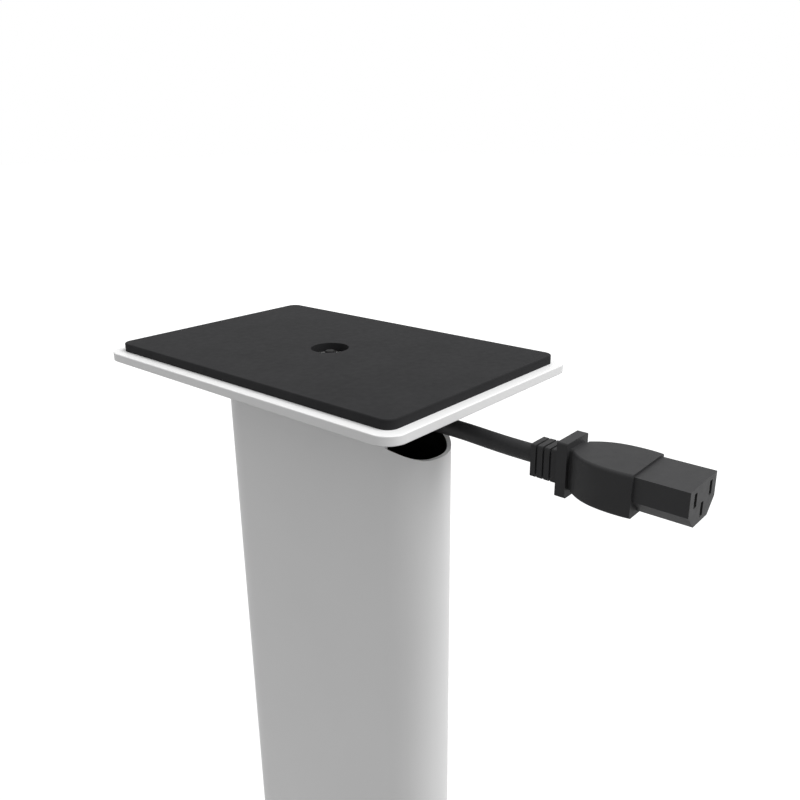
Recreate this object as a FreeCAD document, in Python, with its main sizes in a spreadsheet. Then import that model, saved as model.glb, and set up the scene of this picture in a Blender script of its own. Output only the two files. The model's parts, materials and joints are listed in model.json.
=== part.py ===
import FreeCAD, Part
import math
import os
import Sketcher
from FreeCAD import Placement, Rotation, Vector

# Speaker stand: an oval steel column on a flat base plate, with a padded top plate
# and a mains lead that runs inside the column to a connector behind the speaker.
# Millimetres. The origin is on the floor, midway under the base. +Z is up, +Y is the rear.

document = FreeCAD.newDocument("speaker_stand")
sheet = document.addObject("Spreadsheet::Sheet", "Sizes")

SIZES = [
    ("fit_gap", 0.05, "radial gap of a running or threaded fit"),
    ("base_width", 230.0, "base plate, side to side"),
    ("base_depth", 322.0, "base plate, front to rear"),
    ("base_thickness", 8.0, "base plate steel"),
    ("base_corner", 16.0, "base plate corner radius in plan"),
    ("base_edge", 1.2, "rounding of the base plate's upper edge"),
    ("foot_height", 14.0, "clear height under the base plate"),
    ("foot_inset", 28.0, "foot axis from the base plate's edges"),
    ("foot_radius", 15.0, "glide of a levelling foot"),
    ("foot_thread", 8.0, "thread of a levelling foot"),
    ("foot_collar_flats", 13.0, "spanner flats of a levelling foot"),
    ("foot_collar", 4.7, "height of the spanner flats"),
    ("foot_head_radius", 5.4, "stem head held in the glide"),
    ("foot_head", 2.95, "height of the stem head"),
    ("foot_socket_floor", 4.0, "floor of the glide's socket above the ground"),
    ("foot_lip", 1.95, "lip of the glide over the stem head"),
    ("sole_radius", 13.5, "rubber sole under the glide"),
    ("sole_thickness", 3.0, "rubber sole"),
    ("sole_stand_proud", 2.0, "sole below the glide's rim"),
    ("column_width", 39.0, "oval column, side to side"),
    ("column_depth", 138.0, "oval column, front to rear"),
    ("column_wall", 2.0, "column steel"),
    ("column_length", 580.0, "column"),
    ("outlet_front", 52.0, "cable outlets are cut from here to the rear"),
    ("upper_outlet_width", 50.4, "upper cable outlet, wider than the column"),
    ("upper_outlet_corner", 19.7, "upper cable outlet's round corners"),
    ("upper_outlet_reach", 30.2, "upper cable outlet from the column's top"),
    ("lower_outlet_width", 31.0, "lower cable outlet"),
    ("lower_outlet_corner", 12.0, "lower cable outlet's round corners"),
    ("lower_outlet_reach", 27.0, "lower cable outlet from the column's foot"),
    ("bridge_thickness", 8.0, "steel bridge inside each end of the column"),
    ("bridge_rear", 26.0, "bridge's rear edge behind the middle"),
    ("plate_width", 127.6, "top plate, side to side"),
    ("plate_depth", 190.0, "top plate, front to rear"),
    ("plate_thickness", 4.2, "top plate steel with its coat"),
    ("plate_corner", 9.0, "top plate corner radius in plan"),
    ("plate_edge", 0.5, "rounding of the top plate's edges"),
    ("plate_hole", 20.0, "middle hole in the top plate"),
    ("pad_thickness", 4.1, "rubber pad"),
    ("pad_inset_side", 5.6, "pad from the plate's long edges"),
    ("pad_inset_end", 5.2, "pad from the plate's short edges"),
    ("pad_corner", 5.0, "pad corner radius in plan"),
    ("pad_edge", 0.6, "rounding of the pad's upper edge"),
    ("pad_hole", 18.4, "middle hole in the pad"),
    ("rod_thread", 6.0, "tie rod through the column"),
    ("rod_top", 2.8, "tie rod's end above the top plate"),
    ("rod_bottom", 1.5, "tie rod's end above the base plate's underside"),
    ("rod_chamfer", 0.9, "chamfer on the tie rod's ends"),
    ("nut_flats", 10.0, "tie rod nut across flats"),
    ("nut_height", 3.2, "tie rod nut"),
    ("washer_radius", 6.25, "tie rod washer"),
    ("washer_thickness", 1.6, "tie rod washer"),
    ("base_hole", 22.0, "middle hole in the base plate for the lower nut"),
    ("top_screw", 5.0, "thread of the top plate's screws"),
    ("base_screw", 6.0, "thread of the base plate's screws"),
    ("screw_head_ratio", 2.0, "countersunk head diameter over thread diameter"),
    ("screw_reach", 7.0, "screw's thread in its bridge"),
    ("screw_side", 9.5, "screws from the middle, sideways"),
    ("screw_front", 48.0, "front screws before the middle"),
    ("screw_rear", 19.0, "rear screws behind the middle"),
    ("lead_diameter", 7.8, "mains lead"),
    ("lead_drop", 20.3, "connector's axis below the top plate's upper face"),
    ("lead_lift", 1.2, "lead leaves the column this much above the connector's axis"),
    ("lead_exit", 70.0, "where the lead passes the column's rear wall"),
    ("lead_rise", 4.75, "lead's axis above the base plate at the lower outlet"),
    ("connector_start", 117.0, "lead enters the appliance connector"),
    ("ring_count", 4, "rings of the connector's strain relief"),
    ("ring_width", 10.4, "ring, side to side"),
    ("ring_height", 13.9, "ring"),
    ("ring_corner", 0.8, "ring's round corners"),
    ("ring_drop", 0.7, "rings' middle below the connector's axis"),
    ("ring_thickness", 2.3, "one ring"),
    ("ring_pitch", 3.1, "ring to ring"),
    ("relief_width", 8.8, "strain relief between its rings, side to side"),
    ("relief_height", 11.6, "strain relief between its rings"),
    ("relief_length", 13.1, "strain relief up to the flange"),
    ("flange_width", 16.4, "connector flange, side to side"),
    ("flange_height", 22.6, "connector flange"),
    ("flange_corner", 0.9, "flange's round corners"),
    ("flange_thickness", 4.4, "connector flange"),
    ("neck_length", 1.7, "grooves behind the flange"),
    ("neck_inset", 1.2, "depth of the two side grooves behind the flange"),
    ("grip_length", 27.0, "connector from the grooves to its shoulder"),
    ("grip_start", 14.4, "connector at the grooves, side to side"),
    ("grip_width", 28.0, "connector at its widest, side to side"),
    ("grip_height", 17.2, "connector"),
    ("grip_corner", 1.3, "connector's round corners"),
    ("nose_width", 24.0, "connector nose, side to side"),
    ("nose_height", 15.2, "connector nose"),
    ("nose_chamfer", 5.6, "nose's two lower corners"),
    ("nose_length", 20.2, "nose beyond the shoulder"),
    ("nose_seat", 6.4, "nose held inside the grip"),
    ("slot_width", 2.4, "contact slot"),
    ("slot_height", 5.6, "contact slot"),
    ("slot_depth", 17.0, "contact slot"),
    ("slot_spacing", 14.0, "between the two live slots"),
    ("slot_lift", 2.9, "live slots above the nose's axis"),
    ("slot_earth_drop", 2.9, "earth slot below the nose's axis"),
    ("sleeve_wall", 0.3, "contact sleeve"),
    ("sleeve_set_back", 2.0, "contact sleeve behind the nose's face"),
    ("sleeve_length", 12.0, "contact sleeve"),
    ("coil_radius", 50.0, "outermost turn of the stored lead"),
    ("coil_pitch", 8.45, "turn to turn, sideways and layer to layer"),
    ("coil_layer_turns", 2, "turns in a layer before it reverses"),
    ("coil_rear", 107.0, "coil's middle behind the stand's middle"),
    ("tie_thickness", 0.8, "strap round the coil"),
    ("tie_width", 9.0, "strap round the coil"),
    ("tie_slack", 0.5, "strap's gap to the turns"),
    ("plug_rear", 58.0, "lead enters the mains plug"),
    ("plug_lift", 0.3, "air under the mains plug"),
    ("plug_relief", 24.0, "plug's tapered strain relief"),
    ("plug_body", 26.0, "plug from its relief to its face plate"),
    ("plug_width", 26.0, "plug, side to side"),
    ("plug_height", 25.0, "plug"),
    ("plug_face", 3.0, "plug's face plate"),
    ("blade_spacing", 12.7, "between the plug's blades"),
    ("blade_width", 6.35, "blade"),
    ("blade_thickness", 1.5, "blade"),
    ("blade_length", 17.5, "blade beyond the face plate"),
    ("earth_pin", 4.8, "earth pin"),
    ("earth_pin_length", 20.6, "earth pin beyond the face plate"),
    ("earth_pin_offset", 11.9, "earth pin from the blades' line"),
    ("blades_lift", 4.5, "blades above the plug's axis"),
    ("pin_root", 8.0, "blades and pin held inside the plug"),
]
for row, (alias, number, meaning) in enumerate(SIZES, start=1):
    sheet.set("A%d" % row, meaning)
    sheet.set("B%d" % row, str(number))
    sheet.setAlias("B%d" % row, alias)

# Levels above the floor, worked out in the sheet from the sizes.
LEVELS = [
    ("base_top", "=foot_height + base_thickness"),
    ("column_top", "=base_top + column_length"),
    ("plate_top", "=column_top + plate_thickness"),
    ("pad_top", "=plate_top + pad_thickness"),
    ("connector_level", "=plate_top - lead_drop"),
    ("exit_level", "=plate_top - lead_drop + lead_lift"),
    ("plug_level", "=base_top + plug_height / 2 + plug_lift"),
    ("shoulder", "=relief_length + flange_thickness + neck_length + grip_length"),
]
for row, (alias, formula) in enumerate(LEVELS, start=len(SIZES) + 2):
    sheet.setAlias("B%d" % row, alias)
    sheet.set("B%d" % row, formula)
document.recompute()

kept = []                      # every object that becomes a node


def size(alias):
    """The number in the sheet's cell of that name."""
    return float(sheet.get(alias))


def value(owner, formula):
    """What a formula of the sheet's names comes to."""
    answer = owner.evalExpression(formula)
    return float(getattr(answer, "Value", answer))


def cells(formula):
    """Give every sheet name in a formula its sheet: plate_top becomes Sizes.plate_top."""
    names = sorted((entry[0] for entry in SIZES + LEVELS), key=len, reverse=True)
    words = formula.replace("(", " ( ").replace(")", " ) ").split()
    return " ".join("Sizes." + word if word in names else word for word in words)


def bind(thing, prop, formula):
    """Tie a property to a formula of the sheet's names."""
    thing.setExpression(prop, cells(formula))


def keep(thing, label):
    """Name an object as one of the stand's nodes."""
    thing.Label = label
    kept.append(thing)
    return thing


def place(thing, along_x="0", along_y="0", along_z="0", turn=None):
    """Put an object where formulas of the sheet's names say."""
    if turn is not None:
        thing.Placement = Placement(Vector(), turn)
    for axis, formula in (("x", along_x), ("y", along_y), ("z", along_z)):
        if formula != "0":
            bind(thing, "Placement.Base." + axis, formula)


def new_body(name):
    """An empty body."""
    return document.addObject("PartDesign::Body", name)


def new_sketch(body, role="XY_Plane", offset=None, shift_x=None, shift_y=None):
    """A sketch on one of its body's own planes, moved by formulas."""
    sketch = body.newObject("Sketcher::SketchObject", "Sketch")
    support = [item for item in body.Origin.OriginFeatures if item.Role == role][0]
    sketch.AttachmentSupport = [(support, "")]
    sketch.MapMode = "FlatFace"
    for axis, formula in (("x", shift_x), ("y", shift_y), ("z", offset)):
        if formula is not None:
            bind(sketch, "AttachmentOffset.Base." + axis, formula)
    return sketch


def dimension(sketch, constraint, name, formula):
    """Add a named dimension and tie it to a formula."""
    index = sketch.addConstraint(constraint)
    sketch.renameConstraint(index, name)
    bind(sketch, "Constraints." + name, formula)


def arc(centre_x, centre_y, radius, start, end):
    """Arc of a circle in a sketch, angles in degrees, anticlockwise."""
    circle = Part.Circle(Vector(centre_x, centre_y, 0), Vector(0, 0, 1), radius)
    return Part.ArcOfCircle(circle, math.radians(start), math.radians(end))


def line(start, end):
    """Straight line in a sketch."""
    return Part.LineSegment(Vector(start[0], start[1], 0), Vector(end[0], end[1], 0))


def tangent_ring(sketch, first, count):
    """Join a closed ring of lines and arcs end to end, tangent at each joint."""
    for step in range(count):
        following = first + (step + 1) % count
        sketch.addConstraint(Sketcher.Constraint("Tangent", first + step, 2, following, 1))


def rounded_rectangle(sketch, width, height, corner, tag=""):
    """Rectangle with round corners, centred on the sketch's origin."""
    half_w = value(sketch, cells(width)) / 2
    half_h = value(sketch, cells(height)) / 2
    radius = value(sketch, cells(corner))
    in_w, in_h = half_w - radius, half_h - radius
    first = sketch.GeometryCount
    sketch.addGeometry([
        line((-in_w, -half_h), (in_w, -half_h)),
        arc(in_w, -in_h, radius, -90, 0),
        line((half_w, -in_h), (half_w, in_h)),
        arc(in_w, in_h, radius, 0, 90),
        line((in_w, half_h), (-in_w, half_h)),
        arc(-in_w, in_h, radius, 90, 180),
        line((-half_w, in_h), (-half_w, -in_h)),
        arc(-in_w, -in_h, radius, 180, 270),
    ])
    tangent_ring(sketch, first, 8)
    for side, way in ((0, "Horizontal"), (2, "Vertical"), (4, "Horizontal"), (6, "Vertical")):
        sketch.addConstraint(Sketcher.Constraint(way, first + side))
    for corner_arc in (3, 5, 7):
        sketch.addConstraint(Sketcher.Constraint("Equal", first + 1, first + corner_arc))
    sketch.addConstraint(Sketcher.Constraint("Symmetric", first + 1, 3, first + 5, 3, -1, 1))
    dimension(sketch, Sketcher.Constraint("Radius", first + 1, radius), "corner" + tag, corner)
    across = Sketcher.Constraint("DistanceX", first + 6, 1, first + 2, 1, 2 * half_w)
    dimension(sketch, across, "width" + tag, width)
    upward = Sketcher.Constraint("DistanceY", first, 1, first + 4, 1, 2 * half_h)
    dimension(sketch, upward, "height" + tag, height)


def oval(sketch, width, depth, tag=""):
    """Two straight sides joined by half circles, centred on the sketch's origin."""
    radius = value(sketch, cells(width)) / 2
    reach = value(sketch, cells(depth)) / 2 - radius
    first = sketch.GeometryCount
    sketch.addGeometry([
        line((radius, -reach), (radius, reach)),
        arc(0, reach, radius, 0, 180),
        line((-radius, reach), (-radius, -reach)),
        arc(0, -reach, radius, 180, 360),
    ])
    tangent_ring(sketch, first, 4)
    sketch.addConstraint(Sketcher.Constraint("Vertical", first))
    sketch.addConstraint(Sketcher.Constraint("Vertical", first + 2))
    sketch.addConstraint(Sketcher.Constraint("Symmetric", first + 1, 3, first + 3, 3, -1, 1))
    across = Sketcher.Constraint("DistanceX", first + 2, 1, first, 1, 2 * radius)
    dimension(sketch, across, "width" + tag, width)
    centres = Sketcher.Constraint("DistanceY", first + 3, 3, first + 1, 3, 2 * reach)
    dimension(sketch, centres, "reach" + tag, "%s - (%s)" % (depth, width))


def circle(sketch, diameter, along_x="0", along_y="0", tag=""):
    """Circle in a sketch, its centre at formulas of the sheet's names."""
    centre = [value(sketch, cells(along_x)), value(sketch, cells(along_y))]
    radius = value(sketch, cells(diameter)) / 2
    index = sketch.addGeometry(Part.Circle(Vector(centre[0], centre[1], 0), Vector(0, 0, 1), radius))
    dimension(sketch, Sketcher.Constraint("Diameter", index, 2 * radius), "diameter" + tag, diameter)
    fix_point(sketch, index, 3, (along_x, along_y), tag)


def fix_point(sketch, geometry, end, place_formulas, tag):
    """Hold a sketch point at two formulas; a zero puts it on the axis."""
    ways = (("DistanceX", -2), ("DistanceY", -1))
    for (way, axis_line), formula in zip(ways, place_formulas):
        if formula == "0":
            sketch.addConstraint(Sketcher.Constraint("PointOnObject", geometry, end, axis_line))
            continue
        number = value(sketch, cells(formula))
        limit = Sketcher.Constraint(way, -1, 1, geometry, end, number)
        dimension(sketch, limit, way[-1].lower() + "_at" + tag, formula)


def polygon(sketch, corners):
    """Closed outline through corners given as pairs of formulas."""
    points = [[value(sketch, cells(formula)) for formula in corner] for corner in corners]
    first = sketch.GeometryCount
    count = len(corners)
    sketch.addGeometry([line(points[step], points[(step + 1) % count]) for step in range(count)])
    for step in range(count):
        following = first + (step + 1) % count
        sketch.addConstraint(Sketcher.Constraint("Coincident", first + step, 2, following, 1))
    for step, corner in enumerate(corners):
        fix_point(sketch, first + step, 1, corner, "_%d" % (first + step))


def hexagon(sketch, flats):
    """Regular hexagon about the sketch's origin, flats left and right."""
    radius = value(sketch, cells(flats)) / math.sqrt(3)
    angles = [math.radians(30 + 60 * step) for step in range(6)]
    points = [(radius * math.cos(angle), radius * math.sin(angle)) for angle in angles]
    first = sketch.GeometryCount
    sketch.addGeometry([line(points[step], points[(step + 1) % 6]) for step in range(6)])
    ring = sketch.addGeometry(Part.Circle(Vector(), Vector(0, 0, 1), radius), True)
    sketch.addConstraint(Sketcher.Constraint("Coincident", ring, 3, -1, 1))
    for step in range(6):
        following = first + (step + 1) % 6
        sketch.addConstraint(Sketcher.Constraint("Coincident", first + step, 2, following, 1))
        sketch.addConstraint(Sketcher.Constraint("PointOnObject", first + step, 1, ring))
        if step:
            sketch.addConstraint(Sketcher.Constraint("Equal", first, first + step))
    sketch.addConstraint(Sketcher.Constraint("Vertical", first + 5))
    width = radius * math.sqrt(3)
    across = Sketcher.Constraint("DistanceX", first + 2, 1, first + 5, 1, width)
    dimension(sketch, across, "flats", flats)


def pad(body, sketch, length, downward=False):
    """Raise a sketch by a formula."""
    feature = body.newObject("PartDesign::Pad", "Pad")
    feature.Profile = sketch
    bind(feature, "Length", length)
    feature.Reversed = downward
    document.recompute()
    return feature


def pocket(body, sketch, length, upward=False):
    """Sink a sketch by a formula, against its normal unless told otherwise."""
    before = body.Shape.Volume
    feature = body.newObject("PartDesign::Pocket", "Pocket")
    feature.Profile = sketch
    bind(feature, "Length", length)
    feature.Reversed = upward
    document.recompute()
    if not feature.Shape.Volume < before:
        raise RuntimeError("a pocket of %s cuts nothing" % body.Name)
    return feature


def revolve(body, sketch):
    """Turn a half profile once about the sketch's upright axis."""
    feature = body.newObject("PartDesign::Revolution", "Revolution")
    feature.Profile = sketch
    feature.ReferenceAxis = (sketch, ["V_Axis"])
    feature.Angle = 360
    document.recompute()
    return feature


def edges_at(shape, level):
    """Names of the edges that lie wholly at one height."""
    return ["Edge%d" % number for number, edge in enumerate(shape.Edges, start=1)
            if abs(edge.BoundBox.ZMin - level) < 1e-4 and abs(edge.BoundBox.ZMax - level) < 1e-4]


def round_edges(body, base, names, radius):
    """Fillet some edges of a feature."""
    feature = body.newObject("PartDesign::Fillet", "Fillet")
    feature.Base = (base, names)
    bind(feature, "Radius", radius)
    document.recompute()
    return feature


# ---- base plate ------------------------------------------------------------------------

SCREW_PLACES = [("-1 * screw_side", "-1 * screw_front"), ("screw_side", "-1 * screw_front"),
                ("-1 * screw_side", "screw_rear"), ("screw_side", "screw_rear")]
FEET = [("front_left", "-1", "-1"), ("front_right", "1", "-1"),
        ("rear_left", "-1", "1"), ("rear_right", "1", "1")]


def foot_place(side, end):
    """Formulas for the middle of the foot on that side and at that end."""
    return ("%s * (base_width / 2 - foot_inset)" % side, "%s * (base_depth / 2 - foot_inset)" % end)


def countersinks(body, thread, face_level, head_faces_up):
    """Cone and clearance hole for each countersunk screw, cut into a plate."""
    before = body.Shape.Volume
    for along_x, along_y in SCREW_PLACES:
        sketch = new_sketch(body, "XZ_Plane", "-1 * (%s)" % along_y, along_x, face_level)
        head = "%s * screw_head_ratio / 2 + fit_gap" % thread
        shank = "%s / 2 + fit_gap" % thread
        sink = "%s * (screw_head_ratio - 1) / 2" % thread
        way = "-1 * " if head_faces_up else ""
        through = "plate_thickness" if head_faces_up else "base_thickness"
        polygon(sketch, [("0", "0"), (head, "0"), (shank, way + "(" + sink + ")"),
                         (shank, way + through), ("0", way + through)])
        groove = body.newObject("PartDesign::Groove", "Groove")
        groove.Profile = sketch
        groove.ReferenceAxis = (sketch, ["V_Axis"])
        groove.Angle = 360
        document.recompute()
    if not body.Shape.Volume < before:
        raise RuntimeError("countersinks of %s cut nothing" % body.Name)


def make_base_plate():
    """Flat steel plate with tapped foot holes and a middle hole for the lower nut."""
    body = new_body("base_plate")
    outline = new_sketch(body, offset="foot_height")
    rounded_rectangle(outline, "base_width", "base_depth", "base_corner")
    plate = pad(body, outline, "base_thickness")
    round_edges(body, plate, edges_at(plate.Shape, size("base_top")), "base_edge")
    holes = new_sketch(body, offset="base_top")
    circle(holes, "base_hole")
    for name, side, end in FEET:
        along_x, along_y = foot_place(side, end)
        circle(holes, "foot_thread + 2 * fit_gap", along_x, along_y, "_" + name)
    pocket(body, holes, "base_thickness")
    countersinks(body, "base_screw", "foot_height", False)
    return keep(body, "base_plate")


# ---- column and the bridges inside its ends -----------------------------------------------

def cable_outlet(body, end_level, which):
    """Rounded notch through the rear wall, centred on one end of the column."""
    sketch = new_sketch(body, "XZ_Plane", "-1 * outlet_front", None, end_level)
    rounded_rectangle(sketch, which + "_width", "2 * %s_reach" % which, which + "_corner")
    pocket(body, sketch, "column_depth / 2")


def make_column():
    """Oval steel tube with a cable outlet at the rear of each end."""
    body = new_body("column")
    section = new_sketch(body, offset="base_top")
    oval(section, "column_width", "column_depth")
    oval(section, "column_width - 2 * column_wall", "column_depth - 2 * column_wall", "_inner")
    pad(body, section, "column_length")
    cable_outlet(body, "column_top", "upper_outlet")
    cable_outlet(body, "base_top", "lower_outlet")
    return keep(body, "column")


def make_bridge(label, level, thread):
    """Steel bridge that closes the front of the column's end and leaves the rear to the lead."""
    body = new_body(label)
    section = new_sketch(body, offset=level)
    oval(section, "column_width - 2 * column_wall", "column_depth - 2 * column_wall")
    pad(body, section, "bridge_thickness")
    rear = new_sketch(body, offset=level + " + bridge_thickness",
                      shift_y="(bridge_rear + column_depth) / 2")
    rounded_rectangle(rear, "column_width", "column_depth - bridge_rear", "column_wall")
    pocket(body, rear, "bridge_thickness")
    holes = new_sketch(body, offset=level + " + bridge_thickness")
    circle(holes, "rod_thread + 2 * fit_gap")
    for number, (along_x, along_y) in enumerate(SCREW_PLACES):
        circle(holes, thread + " + 2 * fit_gap", along_x, along_y, "_screw%d" % number)
    pocket(body, holes, "bridge_thickness")
    return keep(body, label)


# ---- top plate and its pad ----------------------------------------------------------------

def make_top_plate():
    """Flat steel plate that carries the speaker."""
    body = new_body("top_plate")
    outline = new_sketch(body, offset="column_top")
    rounded_rectangle(outline, "plate_width", "plate_depth", "plate_corner")
    plate = pad(body, outline, "plate_thickness")
    rims = edges_at(plate.Shape, size("plate_top")) + edges_at(plate.Shape, size("column_top"))
    round_edges(body, plate, rims, "plate_edge")
    hole = new_sketch(body, offset="plate_top")
    circle(hole, "plate_hole")
    pocket(body, hole, "plate_thickness")
    countersinks(body, "top_screw", "plate_top", True)
    return keep(body, "top_plate")


def make_top_pad():
    """Black rubber pad glued to the top plate, holed in the middle."""
    body = new_body("top_pad")
    outline = new_sketch(body, offset="plate_top")
    rounded_rectangle(outline, "plate_width - 2 * pad_inset_side",
                      "plate_depth - 2 * pad_inset_end", "pad_corner")
    slab = pad(body, outline, "pad_thickness")
    round_edges(body, slab, edges_at(slab.Shape, size("pad_top")), "pad_edge")
    hole = new_sketch(body, offset="pad_top")
    circle(hole, "pad_hole")
    pocket(body, hole, "pad_thickness")
    return keep(body, "top_pad")


# ---- tie rod and fasteners ----------------------------------------------------------------

def make_tie_rod():
    """Threaded rod that pulls the two bridges together through the column."""
    body = new_body("tie_rod")
    sketch = new_sketch(body, "XZ_Plane")
    low = "foot_height + rod_bottom"
    high = "plate_top + rod_top"
    radius = "rod_thread / 2"
    polygon(sketch, [("0", low), (radius + " - rod_chamfer", low), (radius, low + " + rod_chamfer"),
                     (radius, high + " - rod_chamfer"), (radius + " - rod_chamfer", high), ("0", high)])
    revolve(body, sketch)
    return keep(body, "tie_rod")


def group(label, members):
    """One node of several like pieces."""
    bundle = document.addObject("Part::Compound", label)
    bundle.Links = members
    document.recompute()
    return keep(bundle, label)


def make_nuts_and_washers():
    """A thin nut on a washer at each end of the tie rod."""
    nuts, washers = [], []
    upper = ("column_top", "column_top + washer_thickness")
    lower = ("base_top - washer_thickness", "base_top - washer_thickness - nut_height")
    for end, (washer_level, nut_level) in (("upper", upper), ("lower", lower)):
        washer = new_body(end + "_washer")
        ring = new_sketch(washer, offset=washer_level)
        circle(ring, "2 * washer_radius", tag="_outer")
        circle(ring, "rod_thread + 2 * fit_gap", tag="_bore")
        pad(washer, ring, "washer_thickness")
        washers.append(washer)
        nut = new_body(end + "_nut")
        outline = new_sketch(nut, offset=nut_level)
        hexagon(outline, "nut_flats")
        circle(outline, "rod_thread + 2 * fit_gap")
        pad(nut, outline, "nut_height")
        nuts.append(nut)
    return group("tie_rod_nuts", nuts), group("tie_rod_washers", washers)


def make_screws(label, thread, face_level, head_up, plate):
    """Four countersunk screws with hexagon sockets, through a plate into its bridge."""
    screws = []
    for number, (along_x, along_y) in enumerate(SCREW_PLACES):
        screw = new_body("%s_%d" % (label, number + 1))
        profile = new_sketch(screw, "XZ_Plane")
        sink = "%s * (screw_head_ratio - 1) / 2" % thread
        reach = plate + " + screw_reach"
        polygon(profile, [("0", "0"), (thread + " * screw_head_ratio / 2", "0"),
                          (thread + " / 2", sink), (thread + " / 2", reach), ("0", reach)])
        revolve(screw, profile)
        socket = new_sketch(screw)
        hexagon(socket, thread + " * 0.6")
        pocket(screw, socket, thread + " * 0.4", upward=True)
        turn = Rotation(Vector(1, 0, 0), 180) if head_up else Rotation()
        place(screw, along_x, along_y, face_level, turn)
        screws.append(screw)
    return group(label, screws)


# ---- levelling feet -----------------------------------------------------------------------

def make_foot(name, side, end):
    """Rubber sole, glide and threaded stem of one levelling foot."""
    along_x, along_y = foot_place(side, end)
    rim = "sole_thickness - sole_stand_proud"

    sole = new_body("foot_sole_" + name)
    disc = new_sketch(sole, "XZ_Plane")
    polygon(disc, [("0", "0"), ("sole_radius - sole_stand_proud / 2", "0"),
                   ("sole_radius", "sole_stand_proud / 2"), ("sole_radius", "sole_thickness"),
                   ("0", "sole_thickness")])
    revolve(sole, disc)
    place(sole, along_x, along_y)
    keep(sole, "foot_sole_" + name)

    glide = new_body("foot_glide_" + name)
    bowl = new_sketch(glide, "XZ_Plane")
    socket_top = "foot_socket_floor + foot_head + fit_gap"
    top = socket_top + " + foot_lip"
    socket_radius = "foot_head_radius + fit_gap"
    mouth = "foot_thread / 2 + fit_gap"
    polygon(bowl, [("0", "sole_thickness"), ("sole_radius", "sole_thickness"),
                   ("sole_radius", "sole_stand_proud"), ("foot_radius", "sole_stand_proud"),
                   ("foot_radius", "sole_stand_proud + 2 * (%s)" % rim),
                   ("foot_radius - 2 * foot_lip", top), (mouth, top), (mouth, socket_top),
                   (socket_radius, socket_top), (socket_radius, "foot_socket_floor"),
                   ("0", "foot_socket_floor")])
    revolve(glide, bowl)
    place(glide, along_x, along_y)
    keep(glide, "foot_glide_" + name)

    stem = new_body("foot_stem_" + name)
    shaft = new_sketch(stem, "XZ_Plane")
    collar_low = "foot_height - foot_collar"
    head_low = "foot_socket_floor + fit_gap"
    stem_top = "base_top - fit_gap * 8"
    shank = "foot_thread / 2"
    polygon(shaft, [("0", head_low), ("foot_head_radius", head_low),
                    ("foot_head_radius", "foot_socket_floor + foot_head"),
                    (shank, "foot_socket_floor + foot_head"), (shank, stem_top + " - 0.6"),
                    (shank + " - 0.6", stem_top), ("0", stem_top)])
    revolve(stem, shaft)
    flats = new_sketch(stem, offset=collar_low)
    hexagon(flats, "foot_collar_flats")
    pad(stem, flats, "foot_collar")
    socket = new_sketch(stem, offset=stem_top)
    hexagon(socket, "foot_thread / 2")
    pocket(stem, socket, "foot_thread / 2")
    place(stem, along_x, along_y)
    keep(stem, "foot_stem_" + name)


# ---- mains lead ---------------------------------------------------------------------------

def rounded_path(points):
    """Straight runs joined by tangent arcs, each arc as large as its two runs allow."""
    points = [Vector(*point) for point in points]
    edges, radii = [], []
    start = points[0]
    for before, corner, after in zip(points, points[1:], points[2:]):
        inward, outward = (corner - before), (after - corner)
        half_turn = inward.getAngle(outward) / 2
        cut = 0.45 * min(inward.Length, outward.Length)
        radius = cut / math.tan(half_turn)
        inward.normalize()
        outward.normalize()
        arc_start, arc_end = corner - inward * cut, corner + outward * cut
        bisector = (outward - inward).normalize()
        middle = corner + bisector * (radius / math.cos(half_turn) - radius)
        edges.append(Part.LineSegment(start, arc_start).toShape())
        edges.append(Part.Arc(arc_start, middle, arc_end).toShape())
        radii.append(radius)
        start = arc_end
    edges.append(Part.LineSegment(start, points[-1]).toShape())
    return Part.Wire(edges), radii


def biarc(start, start_way, end, end_way):
    """Two arcs that leave a point one way and reach the next point another way."""
    chord = end - start
    ways = start_way + end_way
    square = 2 * start_way.dot(end_way) - 2
    linear = -2 * chord.dot(ways)
    constant = chord.dot(chord)
    reach = (-linear - math.sqrt(linear ** 2 - 4 * square * constant)) / (2 * square)
    first_corner = start + start_way * reach
    second_corner = end - end_way * reach
    joint = (first_corner + second_corner) * 0.5
    edges = []
    for tail, corner, head in ((start, first_corner, joint), (joint, second_corner, end)):
        half_chord = (head - tail).Length / 2
        chord_middle = (tail + head) * 0.5
        half_angle = math.acos(min(1.0, half_chord / (corner - tail).Length))
        bulge = math.tan(half_angle / 2) * half_chord
        outward = (corner - chord_middle).normalize()
        edges.append(Part.Arc(tail, chord_middle + outward * bulge, head).toShape())
    return edges


def tube(label, wire, ring_way):
    """Round tube of the lead's section along a wire."""
    radius = size("lead_diameter") / 2
    start = wire.OrderedVertexes[0].Point
    ring = Part.Wire([Part.Circle(start, ring_way, radius).toShape()])
    solid = wire.makePipeShell([ring], True, False)
    expected = math.pi * radius ** 2 * wire.Length
    print("%s: length %.1f mm, volume %.4f of its section times its length"
          % (label, wire.Length, solid.Volume / expected))
    feature = document.addObject("Part::Feature", label)
    feature.Shape = solid
    return keep(feature, label)


def lead_run(label, points):
    """A stretch of the lead along hand-set points."""
    wire, radii = rounded_path(points)
    if radii:
        print("%s: smallest bend radius %.1f mm" % (label, min(radii)))
    first_way = Vector(*points[1]) - Vector(*points[0])
    return tube(label, wire, first_way)


def make_free_lead():
    """The stretch that shows: out of the upper outlet and a little down to the connector."""
    start, end = size("lead_exit"), size("connector_start")
    low, lift = size("connector_level"), size("lead_lift")
    route = [(0.0, 1.0), (0.22, 1.0), (0.49, 0.42), (0.76, 0.0), (1.0, 0.0)]  # shares: way, lift
    points = [(0, start + way * (end - start), low + up * lift) for way, up in route]
    return lead_run("lead_upper", points)


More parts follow.
